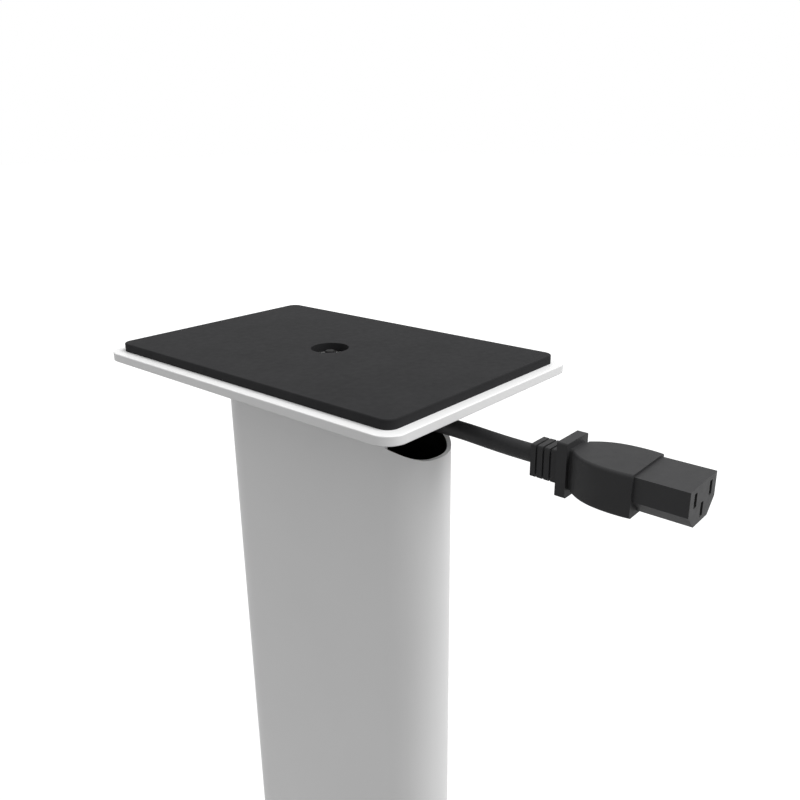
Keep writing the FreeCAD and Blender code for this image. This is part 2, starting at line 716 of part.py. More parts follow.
def make_inner_lead():
    """The stretch inside the column, from the upper outlet down to the lower one."""
    exit_y, level = size("lead_exit"), size("exit_level")
    foot = size("base_top") + size("lead_rise")
    bend = [(24.2, 0.0), (45.1, 12.1), (57.2, 33.0)]     # forward of the exit, away from its level
    drift = [(0.5, 13.2, 0.895), (1.5, 14.8, 0.820), (2.0, 16.8, 0.715), (0.6, 18.2, 0.610),
             (-1.6, 17.0, 0.505), (-2.2, 15.2, 0.400), (-0.6, 15.8, 0.295), (1.0, 14.6, 0.185),
             (0.4, 13.2, 0.105)]                         # x, y, share of the height
    points = [(0, exit_y, level)]
    points += [(0, exit_y - forward, level - away) for forward, away in bend]
    points += [(x, y, foot + share * (level - foot)) for x, y, share in drift]
    points += [(0, exit_y - forward, foot + away) for forward, away in reversed(bend)]
    points += [(0, exit_y, foot)]
    return lead_run("lead_riser", points)


def coil_point(turn):
    """Place on the coil's middle line after so many turns."""
    layer = size("coil_layer_turns")
    pitch = size("coil_pitch")
    inner = size("coil_radius") - layer * pitch
    half = 0.5                                  # the half turn in which the winding reverses
    if turn < layer:
        radius, climb = size("coil_radius") - pitch * turn, 0.0
    elif turn < layer + half:
        past = turn - layer
        radius = inner - pitch * past + pitch * past ** 2 / half
        climb = 0.5 - 0.5 * math.cos(math.pi * past / half)
    else:
        radius, climb = inner + pitch * (turn - layer - half), 1.0
    angle = 2 * math.pi * turn
    low = size("base_top") + size("lead_rise")
    return Vector(radius * math.cos(angle) - size("coil_radius"),
                  radius * math.sin(angle) + size("coil_rear"), low + climb * pitch)


def coil_way(turn):
    """Direction of the coil's middle line after so many turns."""
    step = 1e-5
    return (coil_point(turn + step) - coil_point(turn - step)).normalize()


def coil_turns():
    """All the turns: in, the half turn up, and out again."""
    return 2 * size("coil_layer_turns") + 0.5


def make_coil():
    """The spare lead, wound inward in one layer and outward in a second on top of it."""
    steps = int(round(coil_turns() * 4))
    stations = [coil_turns() * step / steps for step in range(steps + 1)]
    places = [coil_point(turn) for turn in stations]
    ways = [coil_way(turn) for turn in stations]
    ways[0], ways[-1] = Vector(0, 1, 0), Vector(0, -1, 0)
    edges = []
    for start, start_way, end, end_way in zip(places, ways, places[1:], ways[1:]):
        edges += biarc(start, start_way, end, end_way)
    wire = Part.Wire(edges)
    radii = [edge.Curve.Radius for edge in wire.Edges]
    samples = wire.discretize(Number=int(round(coil_turns() * 60)))
    spare = int(round(len(samples) / coil_turns() / 3))
    gap = min((samples[a] - samples[b]).Length
              for a in range(len(samples)) for b in range(a + spare, len(samples)))
    print("lead_coil: smallest bend radius %.1f mm, least gap to itself %.2f mm"
          % (min(radii), gap - size("lead_diameter")))
    return tube("lead_coil", wire, Vector(0, 1, 0))


def make_lead_ends():
    """From the lower outlet to the coil, and from the coil to the mains plug."""
    start = coil_point(0)
    lead_run("lead_lower", [(0, size("lead_exit"), start.z), (start.x, start.y, start.z)])
    end = coil_point(coil_turns())
    plug_level = size("plug_level")
    run = (end.y - size("plug_rear")) / 3
    lead_run("lead_end", [(end.x, end.y, end.z), (end.x, end.y - run, end.z),
                          (end.x, end.y - 2 * run, plug_level), (end.x, size("plug_rear"), plug_level)])


def make_tie():
    """Strap round all the turns at the back of the coil, lying on the base plate."""
    radii = [coil_point(turn + 0.25).y - size("coil_rear")
             for turn in range(int(2 * size("coil_layer_turns")) + 1)]
    half_lead = size("lead_diameter") / 2
    body = new_body("coil_tie")
    height = "lead_diameter + coil_pitch + tie_slack"
    middle = size("coil_rear") + (max(radii) + min(radii)) / 2
    span = max(radii) - min(radii) + 2 * half_lead + 2 * size("tie_slack")
    for outer, tag in ((True, "outer"), (False, "inner")):
        sketch = new_sketch(body, "YZ_Plane", "-1 * tie_width / 2")
        grown = " + 2 * tie_thickness" if outer else ""
        corner = "lead_diameter / 2" + (" + tie_thickness" if outer else "")
        rounded_rectangle(sketch, "%.4f%s" % (span, grown), height + grown, corner, "_" + tag)
        if outer:
            pad(body, sketch, "tie_width")
        else:
            pocket(body, sketch, "tie_width", upward=True)
    place(body, "-1 * coil_radius", "%.4f" % middle,
          "base_top + tie_thickness + (%s) / 2" % height)
    return keep(body, "coil_tie")


# ---- appliance connector ------------------------------------------------------------------

def facing(body, distance, shift_up=None):
    """Sketch square to the lead, so far along it from the body's origin."""
    return new_sketch(body, "XZ_Plane", "-1 * (%s)" % distance, None, shift_up)


def slab(body, distance, width, height, corner, thickness, shift_up=None):
    """Rounded block square to the lead."""
    sketch = facing(body, distance, shift_up)
    rounded_rectangle(sketch, width, height, corner)
    return pad(body, sketch, thickness, downward=True)


def loft(body, sections):
    """Smooth body through rounded sections: distance, width, height, corner."""
    sketches = []
    for distance, width, height, corner in sections:
        sketch = facing(body, distance)
        rounded_rectangle(sketch, width, height, corner)
        sketches.append(sketch)
    feature = body.newObject("PartDesign::AdditiveLoft", "Loft")
    feature.Profile = sketches[0]
    feature.Sections = sketches[1:]
    document.recompute()
    return feature


def nose_outline(body, distance):
    """The nose's section: a block with its two lower corners cut off."""
    sketch = facing(body, distance)
    half = "nose_width / 2"
    tall = "nose_height / 2"
    polygon(sketch, [("-1 * " + half, tall), ("-1 * " + half, "-1 * (%s - nose_chamfer)" % tall),
                     ("-1 * (%s - nose_chamfer)" % half, "-1 * " + tall),
                     ("%s - nose_chamfer" % half, "-1 * " + tall),
                     (half, "-1 * (%s - nose_chamfer)" % tall), (half, tall)])
    return sketch


SLOTS = [("-1 * slot_spacing / 2", "slot_lift"), ("slot_spacing / 2", "slot_lift"),
         ("0", "-1 * slot_earth_drop")]


def make_connector():
    """Overmoulded connector: strain relief, flange, grip, nose and its contacts."""
    grip = new_body("connector_body")
    drop = "-1 * ring_drop"
    slab(grip, "0", "relief_width", "relief_height", "ring_corner", "relief_length", drop)
    for ring in range(int(size("ring_count"))):
        slab(grip, "%d * ring_pitch" % ring, "ring_width", "ring_height", "ring_corner",
             "ring_thickness", drop)
    slab(grip, "relief_length", "flange_width", "flange_height", "flange_corner", "flange_thickness")
    neck = "(relief_length + flange_thickness)"
    slab(grip, neck, "grip_start - 2 * neck_inset", "grip_height", "grip_corner", "neck_length")
    swell = neck + " + neck_length"
    loft(grip, [(swell + " + grip_length * %s" % along, "grip_start + (grip_width - grip_start) * %s" % share,
                 "grip_height", "grip_corner")
                for along, share in (("0", "0"), ("0.14", "0.43"), ("0.31", "0.76"), ("0.52", "0.95"),
                                     ("0.74", "1"), ("1", "0.90"))])
    pocket(grip, nose_outline(grip, "shoulder"), "nose_seat", upward=True)
    place(grip, "0", "connector_start", "connector_level")
    keep(grip, "connector_body")

    nose = new_body("connector_nose")
    pad(nose, nose_outline(nose, "shoulder - nose_seat"), "nose_seat + nose_length", downward=True)
    for along_x, along_z in SLOTS:
        mouth = new_sketch(nose, "XZ_Plane", "-1 * (shoulder + nose_length)", along_x, along_z)
        rounded_rectangle(mouth, "slot_width", "slot_height", "slot_width / 8")
        pocket(nose, mouth, "slot_depth", upward=True)
    place(nose, "0", "connector_start", "connector_level")
    keep(nose, "connector_nose")

    sleeves = []
    for number, (along_x, along_z) in enumerate(SLOTS):
        sleeve = new_body("connector_contact_%d" % (number + 1))
        back = "-1 * (shoulder + nose_length - sleeve_set_back - sleeve_length)"
        mouth = new_sketch(sleeve, "XZ_Plane", back, along_x, along_z)
        wide, tall = "slot_width - 2 * fit_gap", "slot_height - 2 * fit_gap"
        rounded_rectangle(mouth, wide, tall, "slot_width / 8")
        rounded_rectangle(mouth, wide + " - 2 * sleeve_wall", tall + " - 2 * sleeve_wall",
                          "slot_width / 16", "_inner")
        pad(sleeve, mouth, "sleeve_length", downward=True)
        place(sleeve, "0", "connector_start", "connector_level")
        sleeves.append(sleeve)
    group("connector_contacts", sleeves)


# ---- mains plug -----------------------------------------------------------------------------

def make_plug():
    """Moulded mains plug on its side on the base plate: two blades and an earth pin."""
    half_turn = Rotation(Vector(0, 0, 1), 180)
    spot = ("-2 * coil_radius", "plug_rear", "plug_level")
    cover = new_body("plug_body")
    loft(cover, [("0", "lead_diameter + 2", "lead_diameter + 2", "lead_diameter / 2"),
                 ("plug_relief", "plug_width / 2", "plug_height / 2", "lead_diameter / 2")])
    loft(cover, [("plug_relief", "plug_width * 0.66", "plug_height * 0.66", "lead_diameter / 2"),
                 ("plug_relief + plug_body * 0.45", "plug_width * 0.94", "plug_height * 0.94",
                  "lead_diameter / 2"),
                 ("plug_relief + plug_body", "plug_width", "plug_height", "lead_diameter / 2")])
    roots = facing(cover, "plug_relief + plug_body", "blades_lift")
    blade_slots(roots)
    pocket(cover, roots, "pin_root - plug_face", upward=True)
    pin_hole = facing(cover, "plug_relief + plug_body", "blades_lift - earth_pin_offset")
    circle(pin_hole, "earth_pin")
    pocket(cover, pin_hole, "pin_root - plug_face", upward=True)
    place(cover, *spot, turn=half_turn)
    keep(cover, "plug_body")

    face = new_body("plug_face")
    slab(face, "plug_relief + plug_body", "plug_width - 1", "plug_height - 1",
         "lead_diameter / 2", "plug_face")
    windows = facing(face, "plug_relief + plug_body + plug_face", "blades_lift")
    blade_slots(windows)
    pocket(face, windows, "plug_face", upward=True)
    window = facing(face, "plug_relief + plug_body + plug_face", "blades_lift - earth_pin_offset")
    circle(window, "earth_pin")
    pocket(face, window, "plug_face", upward=True)
    place(face, *spot, turn=half_turn)
    keep(face, "plug_face")

    root = "plug_relief + plug_body + plug_face - pin_root"
    blades = []
    for side in ("-1", "1"):
        blade = new_body("plug_blade")
        outline = new_sketch(blade, "XZ_Plane", "-1 * (%s)" % root,
                             side + " * blade_spacing / 2", "blades_lift")
        rounded_rectangle(outline, "blade_thickness", "blade_width", "blade_thickness / 5")
        pad(blade, outline, "pin_root + blade_length", downward=True)
        place(blade, *spot, turn=half_turn)
        blades.append(blade)
    group("plug_blades", blades)

    pin = new_body("plug_earth_pin")
    outline = facing(pin, root, "blades_lift - earth_pin_offset")
    circle(outline, "earth_pin")
    pad(pin, outline, "pin_root + earth_pin_length", downward=True)
    place(pin, *spot, turn=half_turn)
    keep(pin, "plug_earth_pin")


def blade_slots(sketch):
    """Two upright slots that the blades fill."""
    for side in (-1, 1):
        near = "%d * (blade_spacing / 2 - blade_thickness / 2)" % side
        far = "%d * (blade_spacing / 2 + blade_thickness / 2)" % side
        polygon(sketch, [(near, "-1 * blade_width / 2"), (far, "-1 * blade_width / 2"),
                         (far, "blade_width / 2"), (near, "blade_width / 2")])


# ---- the whole stand --------------------------------------------------------------------------

make_base_plate()
make_column()
make_bridge("lower_bridge", "base_top", "base_screw")
make_bridge("upper_bridge", "column_top - bridge_thickness", "top_screw")
make_top_plate()
make_top_pad()
make_tie_rod()
make_nuts_and_washers()
make_screws("top_plate_screws", "top_screw", "plate_top", True, "plate_thickness")
make_screws("base_plate_screws", "base_screw", "foot_height", False, "base_thickness")
for foot in FEET:
    make_foot(*foot)
make_free_lead()
make_inner_lead()
make_lead_ends()
make_coil()
make_tie()
make_connector()
make_plug()
document.recompute()

for thing in document.Objects:
    if "Invalid" in thing.State or "Error" in thing.State:
        raise RuntimeError("%s did not recompute: %s" % (thing.Label, thing.State))
for node in kept:
    if node.Shape.isNull() or not node.Shape.isValid():
        raise RuntimeError("%s has no valid shape" % node.Label)
    if not node.Shape.Solids:
        raise RuntimeError("%s has no solid" % node.Label)

os.makedirs("parts", exist_ok=True)
for node in kept:
    node.Shape.exportStep("parts/%s.step" % node.Label)
print("%d nodes, %d solids" % (len(kept), sum(len(node.Shape.Solids) for node in kept)))
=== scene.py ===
import json
import math

import bmesh
import bpy
from mathutils import Matrix, Vector


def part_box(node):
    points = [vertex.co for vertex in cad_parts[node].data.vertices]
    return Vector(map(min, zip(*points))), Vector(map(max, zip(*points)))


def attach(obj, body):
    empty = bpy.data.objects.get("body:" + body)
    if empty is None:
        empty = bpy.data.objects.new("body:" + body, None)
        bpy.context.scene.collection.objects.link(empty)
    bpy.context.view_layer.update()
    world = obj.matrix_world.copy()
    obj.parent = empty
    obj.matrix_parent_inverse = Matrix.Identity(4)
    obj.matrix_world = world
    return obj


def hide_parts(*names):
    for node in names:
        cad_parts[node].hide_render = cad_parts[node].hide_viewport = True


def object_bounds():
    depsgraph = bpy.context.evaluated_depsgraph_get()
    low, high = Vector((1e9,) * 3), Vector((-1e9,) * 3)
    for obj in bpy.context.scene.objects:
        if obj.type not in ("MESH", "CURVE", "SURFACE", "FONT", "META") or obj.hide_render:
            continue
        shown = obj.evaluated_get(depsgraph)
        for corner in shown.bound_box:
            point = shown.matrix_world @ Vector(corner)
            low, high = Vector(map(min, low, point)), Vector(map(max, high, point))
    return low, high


bl_info = {
    "name": "Speaker stand dressing",
    "version": (1, 0, 0),
    "blender": (4, 5, 0),
    "location": "3D View > Sidebar > Stand",
    "description": "Finishes, leads, threads and studio for a steel speaker stand",
    "category": "Object",
}

# The frame: X to the right, Y to the rear where the lead leaves, Z up from the floor. Metres.
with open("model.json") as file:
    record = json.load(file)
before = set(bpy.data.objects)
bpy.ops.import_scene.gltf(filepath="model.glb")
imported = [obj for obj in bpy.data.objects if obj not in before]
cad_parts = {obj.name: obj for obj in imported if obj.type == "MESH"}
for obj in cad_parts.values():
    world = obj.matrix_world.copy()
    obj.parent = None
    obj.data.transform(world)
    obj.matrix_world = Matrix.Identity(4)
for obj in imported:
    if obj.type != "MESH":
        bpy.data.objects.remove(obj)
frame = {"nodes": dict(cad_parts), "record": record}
CAD_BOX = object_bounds()
NODES = frame["nodes"]
MM = 0.001
WIDTH, DEPTH, HEIGHT = (high - low for low, high in zip(*CAD_BOX))
COLUMN_WALL = 2.0 * MM
PAINTED_SHADE_REACH = 0.1 * MM           # the painted shade inside the column reaches this far outside the column's inner face, where the coat ends
FEET = ("front_left", "front_right", "rear_left", "rear_right")


def low(node):
    """Lowest corner of a CAD node."""
    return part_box(node)[0]


def high(node):
    """Highest corner of a CAD node."""
    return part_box(node)[1]


def middle(node):
    """Middle of a CAD node's box."""
    return (low(node) + high(node)) / 2


# ---- what a user would change --------------------------------------------------------------


def length_property(name, description, millimetres):
    """A length that the sidebar shows in the scene's units."""
    return bpy.props.FloatProperty(name=name, description=description, default=millimetres * MM,
                                   min=0.0, unit="LENGTH", precision=5)


def colour_property(name, description, colour):
    """A linear colour."""
    return bpy.props.FloatVectorProperty(name=name, description=description, default=colour,
                                         subtype="COLOR", min=0.0, max=1.0, size=3)


class StandLeads(bpy.types.PropertyGroup):
    """Sizes of the mains lead and of its put-away coil."""
    diameter: length_property("Lead diameter", "Outside diameter of the sheath", 7.8)
    coil_radius: length_property("Coil radius", "Middle line of the outermost turn", 50.0)
    coil_pitch: length_property("Coil pitch", "From one turn to the next", 8.45)
    layer_turns: bpy.props.IntProperty(name="Turns in a layer", default=2, min=1, max=6,
                                       description="Turns before the winding reverses")
    turn_points: bpy.props.IntProperty(name="Points per turn", default=16, min=12, max=48,
                                       description="Control points in one turn of the coil")
    strap_tongue: length_property("Strap tongue", "Free end of the strap past its overlap", 13.0)


class StandThreads(bpy.types.PropertyGroup):
    """Sizes of the threaded pieces."""
    rod_pitch: length_property("Tie rod pitch", "Thread pitch of the tie rod", 1.0)
    stem_pitch: length_property("Stem pitch", "Thread pitch of a levelling foot", 1.25)
    steps: bpy.props.IntProperty(name="Steps per turn", default=14, min=8, max=48,
                                 description="Flats in one turn of a thread")
    rib_count: bpy.props.IntProperty(name="Plug ribs", default=6, min=0, max=12,
                                     description="Ribs on the plug's strain relief")


class StandColours(bpy.types.PropertyGroup):
    """Colours of the finishes."""
    coat: colour_property("Coat", "Powder coat on the steel", (0.80, 0.80, 0.80))
    # The inside colour is painted shade: near-black on the column's inner wall, standing in for the
    # shade in the hollow column.
    inside: colour_property("Inside", "The column's wall inside, where the coat doesn't reach",
                            (0.006, 0.006, 0.006))
    pad: colour_property("Pad", "Rubber pad on the top plate", (0.021, 0.021, 0.022))
    sheath: colour_property("Sheath", "Sheath of the lead", (0.020, 0.020, 0.021))
    moulding: colour_property("Moulding", "Moulded plastic of connector and plug",
                              (0.028, 0.028, 0.029))
    zinc: colour_property("Zinc", "Bright plated steel", (0.56, 0.57, 0.58))
    oxide: colour_property("Black oxide", "Blackened steel", (0.012, 0.012, 0.0125))
    contact: colour_property("Contact", "Plated brass", (0.62, 0.52, 0.34))


class StandStudio(bpy.types.PropertyGroup):
    """Studio light."""
    sky: bpy.props.FloatProperty(name="Sky", description="Plain light from all round",
                                 default=0.67, min=0.0)
    key: bpy.props.FloatProperty(name="Key lamp", description="Large lamp behind the stand",
                                 default=52.0, min=0.0, subtype="POWER", unit="POWER")
    top: bpy.props.FloatProperty(name="Top lamp", description="Large lamp above the stand",
                                 default=1.0, min=0.0, subtype="POWER", unit="POWER")


# ---- materials -----------------------------------------------------------------------------


def maths(tree, operation, first, second=0.0):
    """A node that reckons with two entries, each a number or a socket of the tree."""
    node = tree.nodes.new("ShaderNodeMath")
    node.operation = operation
    for socket, entry in zip(node.inputs, (first, second)):
        if isinstance(entry, bpy.types.NodeSocket):
            tree.links.new(entry, socket)
        else:
            socket.default_value = entry
    return node.outputs[0]


class Finish:
    """A material under construction: its shader, and nodes that feed it from object coordinates."""

    def __init__(self, name, colour, roughness, metallic=0.0, gloss=0.5):
        self.material = bpy.data.materials.new(name)
        self.material.use_nodes = True
        self.tree = self.material.node_tree
        self.shader = self.tree.nodes["Principled BSDF"]
        self.shader.inputs["Base Color"].default_value = (*colour, 1.0)
        self.shader.inputs["Roughness"].default_value = roughness
        self.shader.inputs["Metallic"].default_value = metallic
        self.shader.inputs["Specular IOR Level"].default_value = gloss
        self.place = self.add("ShaderNodeTexCoord").outputs["Object"]
        self.last_bump = None

    def add(self, kind, **settings):
        """A node with its settings: an existing socket's value, or else a property."""
        node = self.tree.nodes.new(kind)
        for name, setting in settings.items():
            socket = node.inputs.get(name.replace("_", " ").title())
            if socket is not None:
                socket.default_value = setting
            else:
                setattr(node, name, setting)
        return node

    def link(self, source, target):
        """Join two sockets."""
        self.tree.links.new(source, target)

    def noise(self, scale, detail=2.0, stretch=(1.0, 1.0, 1.0)):
        """Cloudy pattern, so many to the metre, stretched along the axes."""
        mapping = self.add("ShaderNodeMapping", scale=stretch)
        self.link(self.place, mapping.inputs["Vector"])
        texture = self.add("ShaderNodeTexNoise", scale=scale, detail=detail)
        self.link(mapping.outputs["Vector"], texture.inputs["Vector"])
        return texture.outputs["Fac"]

    def wave(self, scale, axis, distortion=0.0):
        """Even ridges across one axis."""
        texture = self.add("ShaderNodeTexWave", scale=scale, distortion=distortion,
                           bands_direction=axis)
        self.link(self.place, texture.inputs["Vector"])
        return texture.outputs["Fac"]

    def spread(self, pattern, lowest, highest):
        """Pattern brought between two numbers."""
        node = self.add("ShaderNodeMapRange")
        self.link(pattern, node.inputs["Value"])
        node.inputs["To Min"].default_value = lowest
        node.inputs["To Max"].default_value = highest
        return node.outputs["Result"]

    def roughen(self, pattern, lowest, highest):
        """Let the gloss wander with a pattern."""
        self.link(self.spread(pattern, lowest, highest), self.shader.inputs["Roughness"])

    def tint(self, pattern, first, second):
        """Let the colour wander with a pattern."""
        ramp = self.add("ShaderNodeValToRGB")
        ramp.color_ramp.elements[0].position = 0.3
        ramp.color_ramp.elements[1].position = 0.7
        ramp.color_ramp.elements[0].color = (*first, 1.0)
        ramp.color_ramp.elements[1].color = (*second, 1.0)
        self.link(pattern, ramp.inputs["Fac"])
        self.link(ramp.outputs["Color"], self.shader.inputs["Base Color"])

    def inside_oval(self, radius, straight):
        """1 inside an upright oval of that end radius and half length of its straight sides."""
        split = self.add("ShaderNodeSeparateXYZ")
        self.link(self.place, split.inputs["Vector"])
        across, along = split.outputs["X"], maths(self.tree, "ABSOLUTE", split.outputs["Y"])
        beyond = maths(self.tree, "SUBTRACT", along, straight)
        beyond = maths(self.tree, "MAXIMUM", beyond, 0.0)
        square = maths(self.tree, "ADD", maths(self.tree, "MULTIPLY", across, across),
                       maths(self.tree, "MULTIPLY", beyond, beyond))
        return maths(self.tree, "LESS_THAN", square, radius * radius)

    def cover(self, mask, colour):
        """Another colour where the mask is 1."""
        mix = self.add("ShaderNodeMix", data_type="RGBA")
        base = self.shader.inputs["Base Color"]
        self.link(mask, mix.inputs[0])
        self.link(base.links[0].from_socket, mix.inputs[6])
        mix.inputs[7].default_value = (*colour, 1.0)
        self.link(mix.outputs[2], base)

    def bump(self, pattern, strength, depth):
        """Raise the surface by a pattern, on top of any earlier bump."""
        node = self.add("ShaderNodeBump", strength=strength, distance=depth)
        self.link(pattern, node.inputs["Height"])
        if self.last_bump is not None:
            self.link(self.last_bump, node.inputs["Normal"])
        self.last_bump = node.outputs["Normal"]
        self.link(self.last_bump, self.shader.inputs["Normal"])


def shade(colour, share):
    """A colour made lighter or darker."""
    return tuple(min(1.0, part * share) for part in colour)


def coat_finish(colour, name="white_powder_coat"):
    """Satin powder coat: a fine orange peel, a little uneven in gloss."""
    finish = Finish(name, colour, 0.45)
    finish.tint(finish.noise(14.0), shade(colour, 0.985), shade(colour, 1.01))
    finish.roughen(finish.noise(60.0), 0.40, 0.50)
    finish.bump(finish.noise(750.0, 3.0), 0.10, 0.08 * MM)
    return finish


def column_finish(colour, inside):
    """Powder coat outside, and painted shade inside: a near-black colour on the inner wall stands in
    for the shade in the hollow column.
    """
    finish = coat_finish(colour, "column_coat_and_painted_shade")
    half_width, half_depth = high("column").x, high("column").y
    inner = half_width - COLUMN_WALL + PAINTED_SHADE_REACH
    # Painted shade: the inner wall, inside this oval, turns near-black.
    finish.cover(finish.inside_oval(inner, half_depth - half_width), inside)
    return finish.material


def pad_finish(colour):
    """Matte rubber sheet with a fine skin and a trace of dust."""
    finish = Finish("pad_rubber", colour, 0.75, gloss=0.08)
    finish.tint(finish.noise(55.0, 5.0), shade(colour, 0.93), shade(colour, 1.08))
    finish.roughen(finish.noise(300.0, 3.0), 0.66, 0.84)
    finish.bump(finish.noise(2600.0, 2.0), 0.18, 0.05 * MM)
    return finish.material


def sole_finish(colour):
    """Soft rubber of the soles, scuffed on its rim."""
    finish = Finish("sole_rubber", shade(colour, 0.75), 0.85, gloss=0.2)
    finish.roughen(finish.noise(180.0, 4.0), 0.74, 0.95)
    finish.bump(finish.noise(1400.0, 3.0), 0.25, 0.08 * MM)
    return finish.material


def sheath_finish(colour):
    """Flexible sheath: smooth, with faint draw marks and a soft sheen."""
    finish = Finish("lead_sheath", colour, 0.50, gloss=0.2)
    finish.tint(finish.noise(90.0, 3.0), shade(colour, 0.9), shade(colour, 1.1))
    finish.roughen(finish.noise(120.0, 3.0), 0.44, 0.58)
    finish.bump(finish.noise(900.0, 2.0), 0.08, 0.06 * MM)
    return finish.material


def moulding_finish(name, colour, grain):
    """Moulded plastic with the spark-eroded grain of its tool."""
    finish = Finish(name, colour, 0.52, gloss=0.15)
    finish.tint(finish.noise(70.0, 3.0), shade(colour, 0.94), shade(colour, 1.06))
    finish.roughen(finish.noise(240.0, 3.0), 0.46, 0.60)
    finish.bump(finish.noise(3200.0, 2.0), grain, 0.05 * MM)
    return finish.material


def glide_finish():
    """Moulded foot glide, a little shinier where it was pressed."""
    finish = Finish("glide_plastic", (0.022, 0.022, 0.023), 0.45)
    finish.roughen(finish.noise(150.0, 3.0), 0.36, 0.55)
    finish.bump(finish.noise(1800.0, 2.0), 0.12, 0.05 * MM)
    return finish.material


def zinc_finish(colour):
    """Bright zinc over rolled steel, brushed along X."""
    finish = Finish("zinc_plated_steel", colour, 0.34, 1.0)
    finish.tint(finish.noise(120.0, 4.0), shade(colour, 0.88), shade(colour, 1.08))
    finish.roughen(finish.noise(500.0, 3.0, (1.0, 6.0, 6.0)), 0.26, 0.44)
    finish.bump(finish.noise(2200.0, 2.0, (1.0, 8.0, 8.0)), 0.10, 0.03 * MM)
    return finish.material


def oxide_finish(colour):
    """Blackened steel with a thin film of oil."""
    finish = Finish("black_oxide_steel", colour, 0.50, gloss=0.06)
    finish.tint(finish.noise(200.0, 4.0), shade(colour, 0.8), shade(colour, 1.25))
    finish.roughen(finish.noise(700.0, 3.0), 0.42, 0.58)
    finish.bump(finish.noise(2400.0, 2.0), 0.08, 0.03 * MM)
    return finish.material


def contact_finish(colour):
    """Drawn and plated brass."""
    finish = Finish("plated_brass", colour, 0.28, 1.0)
    finish.tint(finish.noise(160.0, 3.0), shade(colour, 0.92), shade(colour, 1.06))
    finish.roughen(finish.noise(900.0, 2.0, (5.0, 1.0, 5.0)), 0.20, 0.36)
    return finish.material


def strap_finish():
    """Hook and loop strap: cross ribs of its weave under a short pile."""
    finish = Finish("woven_strap", (0.020, 0.020, 0.022), 0.92)
    finish.tint(finish.noise(1500.0, 2.0), (0.014, 0.014, 0.015), (0.034, 0.034, 0.036))
    finish.bump(finish.wave(380.0, "X"), 0.35, 0.25 * MM)
    finish.bump(finish.noise(2600.0, 3.0), 0.50, 0.20 * MM)
    return finish.material


MATERIALS = {}


def material(slot_name):
    """The finish for one of the record's material slots, made once."""
    if slot_name not in MATERIALS:
        colours = bpy.context.scene.stand_colours
        makers = {
            "white_coat": lambda: coat_finish(colours.coat).material,
            "bare_steel": lambda: zinc_finish(colours.zinc),
            "dark_steel": lambda: oxide_finish(colours.oxide),
            "pad_rubber": lambda: pad_finish(colours.pad),
            "sole_rubber": lambda: sole_finish(colours.pad),
            "glide_plastic": glide_finish,
            "lead_sheath": lambda: sheath_finish(colours.sheath),
            "connector_plastic": lambda: moulding_finish("moulded_grip", colours.moulding, 0.22),
            "nose_plastic": lambda: moulding_finish("moulded_nose",
                                                    shade(colours.moulding, 1.15), 0.08),
            "contact_metal": lambda: contact_finish(colours.contact),
            "tie_fabric": strap_finish,
        }
        MATERIALS[slot_name] = makers[slot_name]()
    return MATERIALS[slot_name]


def dress(*names):
    """Give CAD nodes the finish of their own material slot."""
    slots = {part["node"]: part["material_slot"] for part in frame["record"]["subparts"]}
    for name in names:
        materials = NODES[name].data.materials
        materials.clear()
        materials.append(material(slots[name]))


# ---- meshes --------------------------------------------------------------------------------

SAME_PLACE = 0.001 * MM         # corners nearer than this are one corner


def new_piece(name, data, slot_name, body, replaced=()):
    """An object at the origin with a finish, that moves with a body and stands for CAD nodes."""
    piece = bpy.data.objects.new(name, data)
    bpy.context.scene.collection.objects.link(piece)
    data.materials.append(material(slot_name))
    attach(piece, body)
    if replaced:
        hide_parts(*replaced)
    return piece


def mesh_from(name, vertices, faces, sharp_degrees=30.0, merge=True):
    """A mesh with outward faces, smooth but for its sharp edges."""
    mesh = bpy.data.meshes.new(name)
    mesh.from_pydata([tuple(vertex) for vertex in vertices], [], faces)
    work = bmesh.new()
    work.from_mesh(mesh)
    if merge:
        bmesh.ops.remove_doubles(work, verts=work.verts, dist=SAME_PLACE)
    bmesh.ops.recalc_face_normals(work, faces=work.faces)
    work.to_mesh(mesh)
    work.free()
    mesh.shade_smooth()
    mesh.set_sharp_from_angle(angle=math.radians(sharp_degrees))
    return mesh


def ring_radius(radius, angle, hexagonal):
    """Distance to a circle, or to a hexagon whose flats face left and right."""
    if not hexagonal:
        return radius
    sixth = math.radians(60.0)
    return radius / math.cos((angle + sixth / 2) % sixth - sixth / 2)


def turned(name, centre, rings, steps=48):
    """Turned solid about an upright axis: rings of level, radius and whether it is a hexagon."""
    vertices, faces = [], []
    for level, radius, hexagonal in rings:
        for step in range(steps):
            angle = 2 * math.pi * step / steps
            reach = ring_radius(radius, angle, hexagonal)
            vertices.append((centre.x + reach * math.cos(angle),
                             centre.y + reach * math.sin(angle), level))
    for ring in range(len(rings) - 1):
        for step in range(steps):
            after = (step + 1) % steps
            faces.append((ring * steps + step, ring * steps + after,
                          (ring + 1) * steps + after, (ring + 1) * steps + step))
    faces.append(tuple(range(steps)))
    faces.append(tuple(range((len(rings) - 1) * steps, len(rings) * steps)))
    return mesh_from(name, vertices, faces)


def band_mesh(name, line, left, right, thickness):
    """A strap of even thickness along a line of Y and Z, as wide as from left to right."""
    vertices, faces = [], []
    for number, (y, z) in enumerate(line):
        before, after = line[max(number - 1, 0)], line[min(number + 1, len(line) - 1)]
        way = Vector((after[0] - before[0], after[1] - before[1])).normalized()
        normal = Vector((way.y, -way.x)) * thickness / 2
        for x in (left, right):
            vertices.append((x, y + normal.x, z + normal.y))
        for x in (right, left):
            vertices.append((x, y - normal.x, z - normal.y))
    count = len(line)
    for number in range(count - 1):
        for side in range(4):
            after = (side + 1) % 4
            faces.append((number * 4 + side, number * 4 + after,
                          number * 4 + 4 + after, number * 4 + 4 + side))
    faces += [(0, 1, 2, 3), tuple((count - 1) * 4 + side for side in range(4))]
    return mesh_from(name, vertices, faces, sharp_degrees=40.0, merge=False)


# ---- geometry nodes ------------------------------------------------------------------------


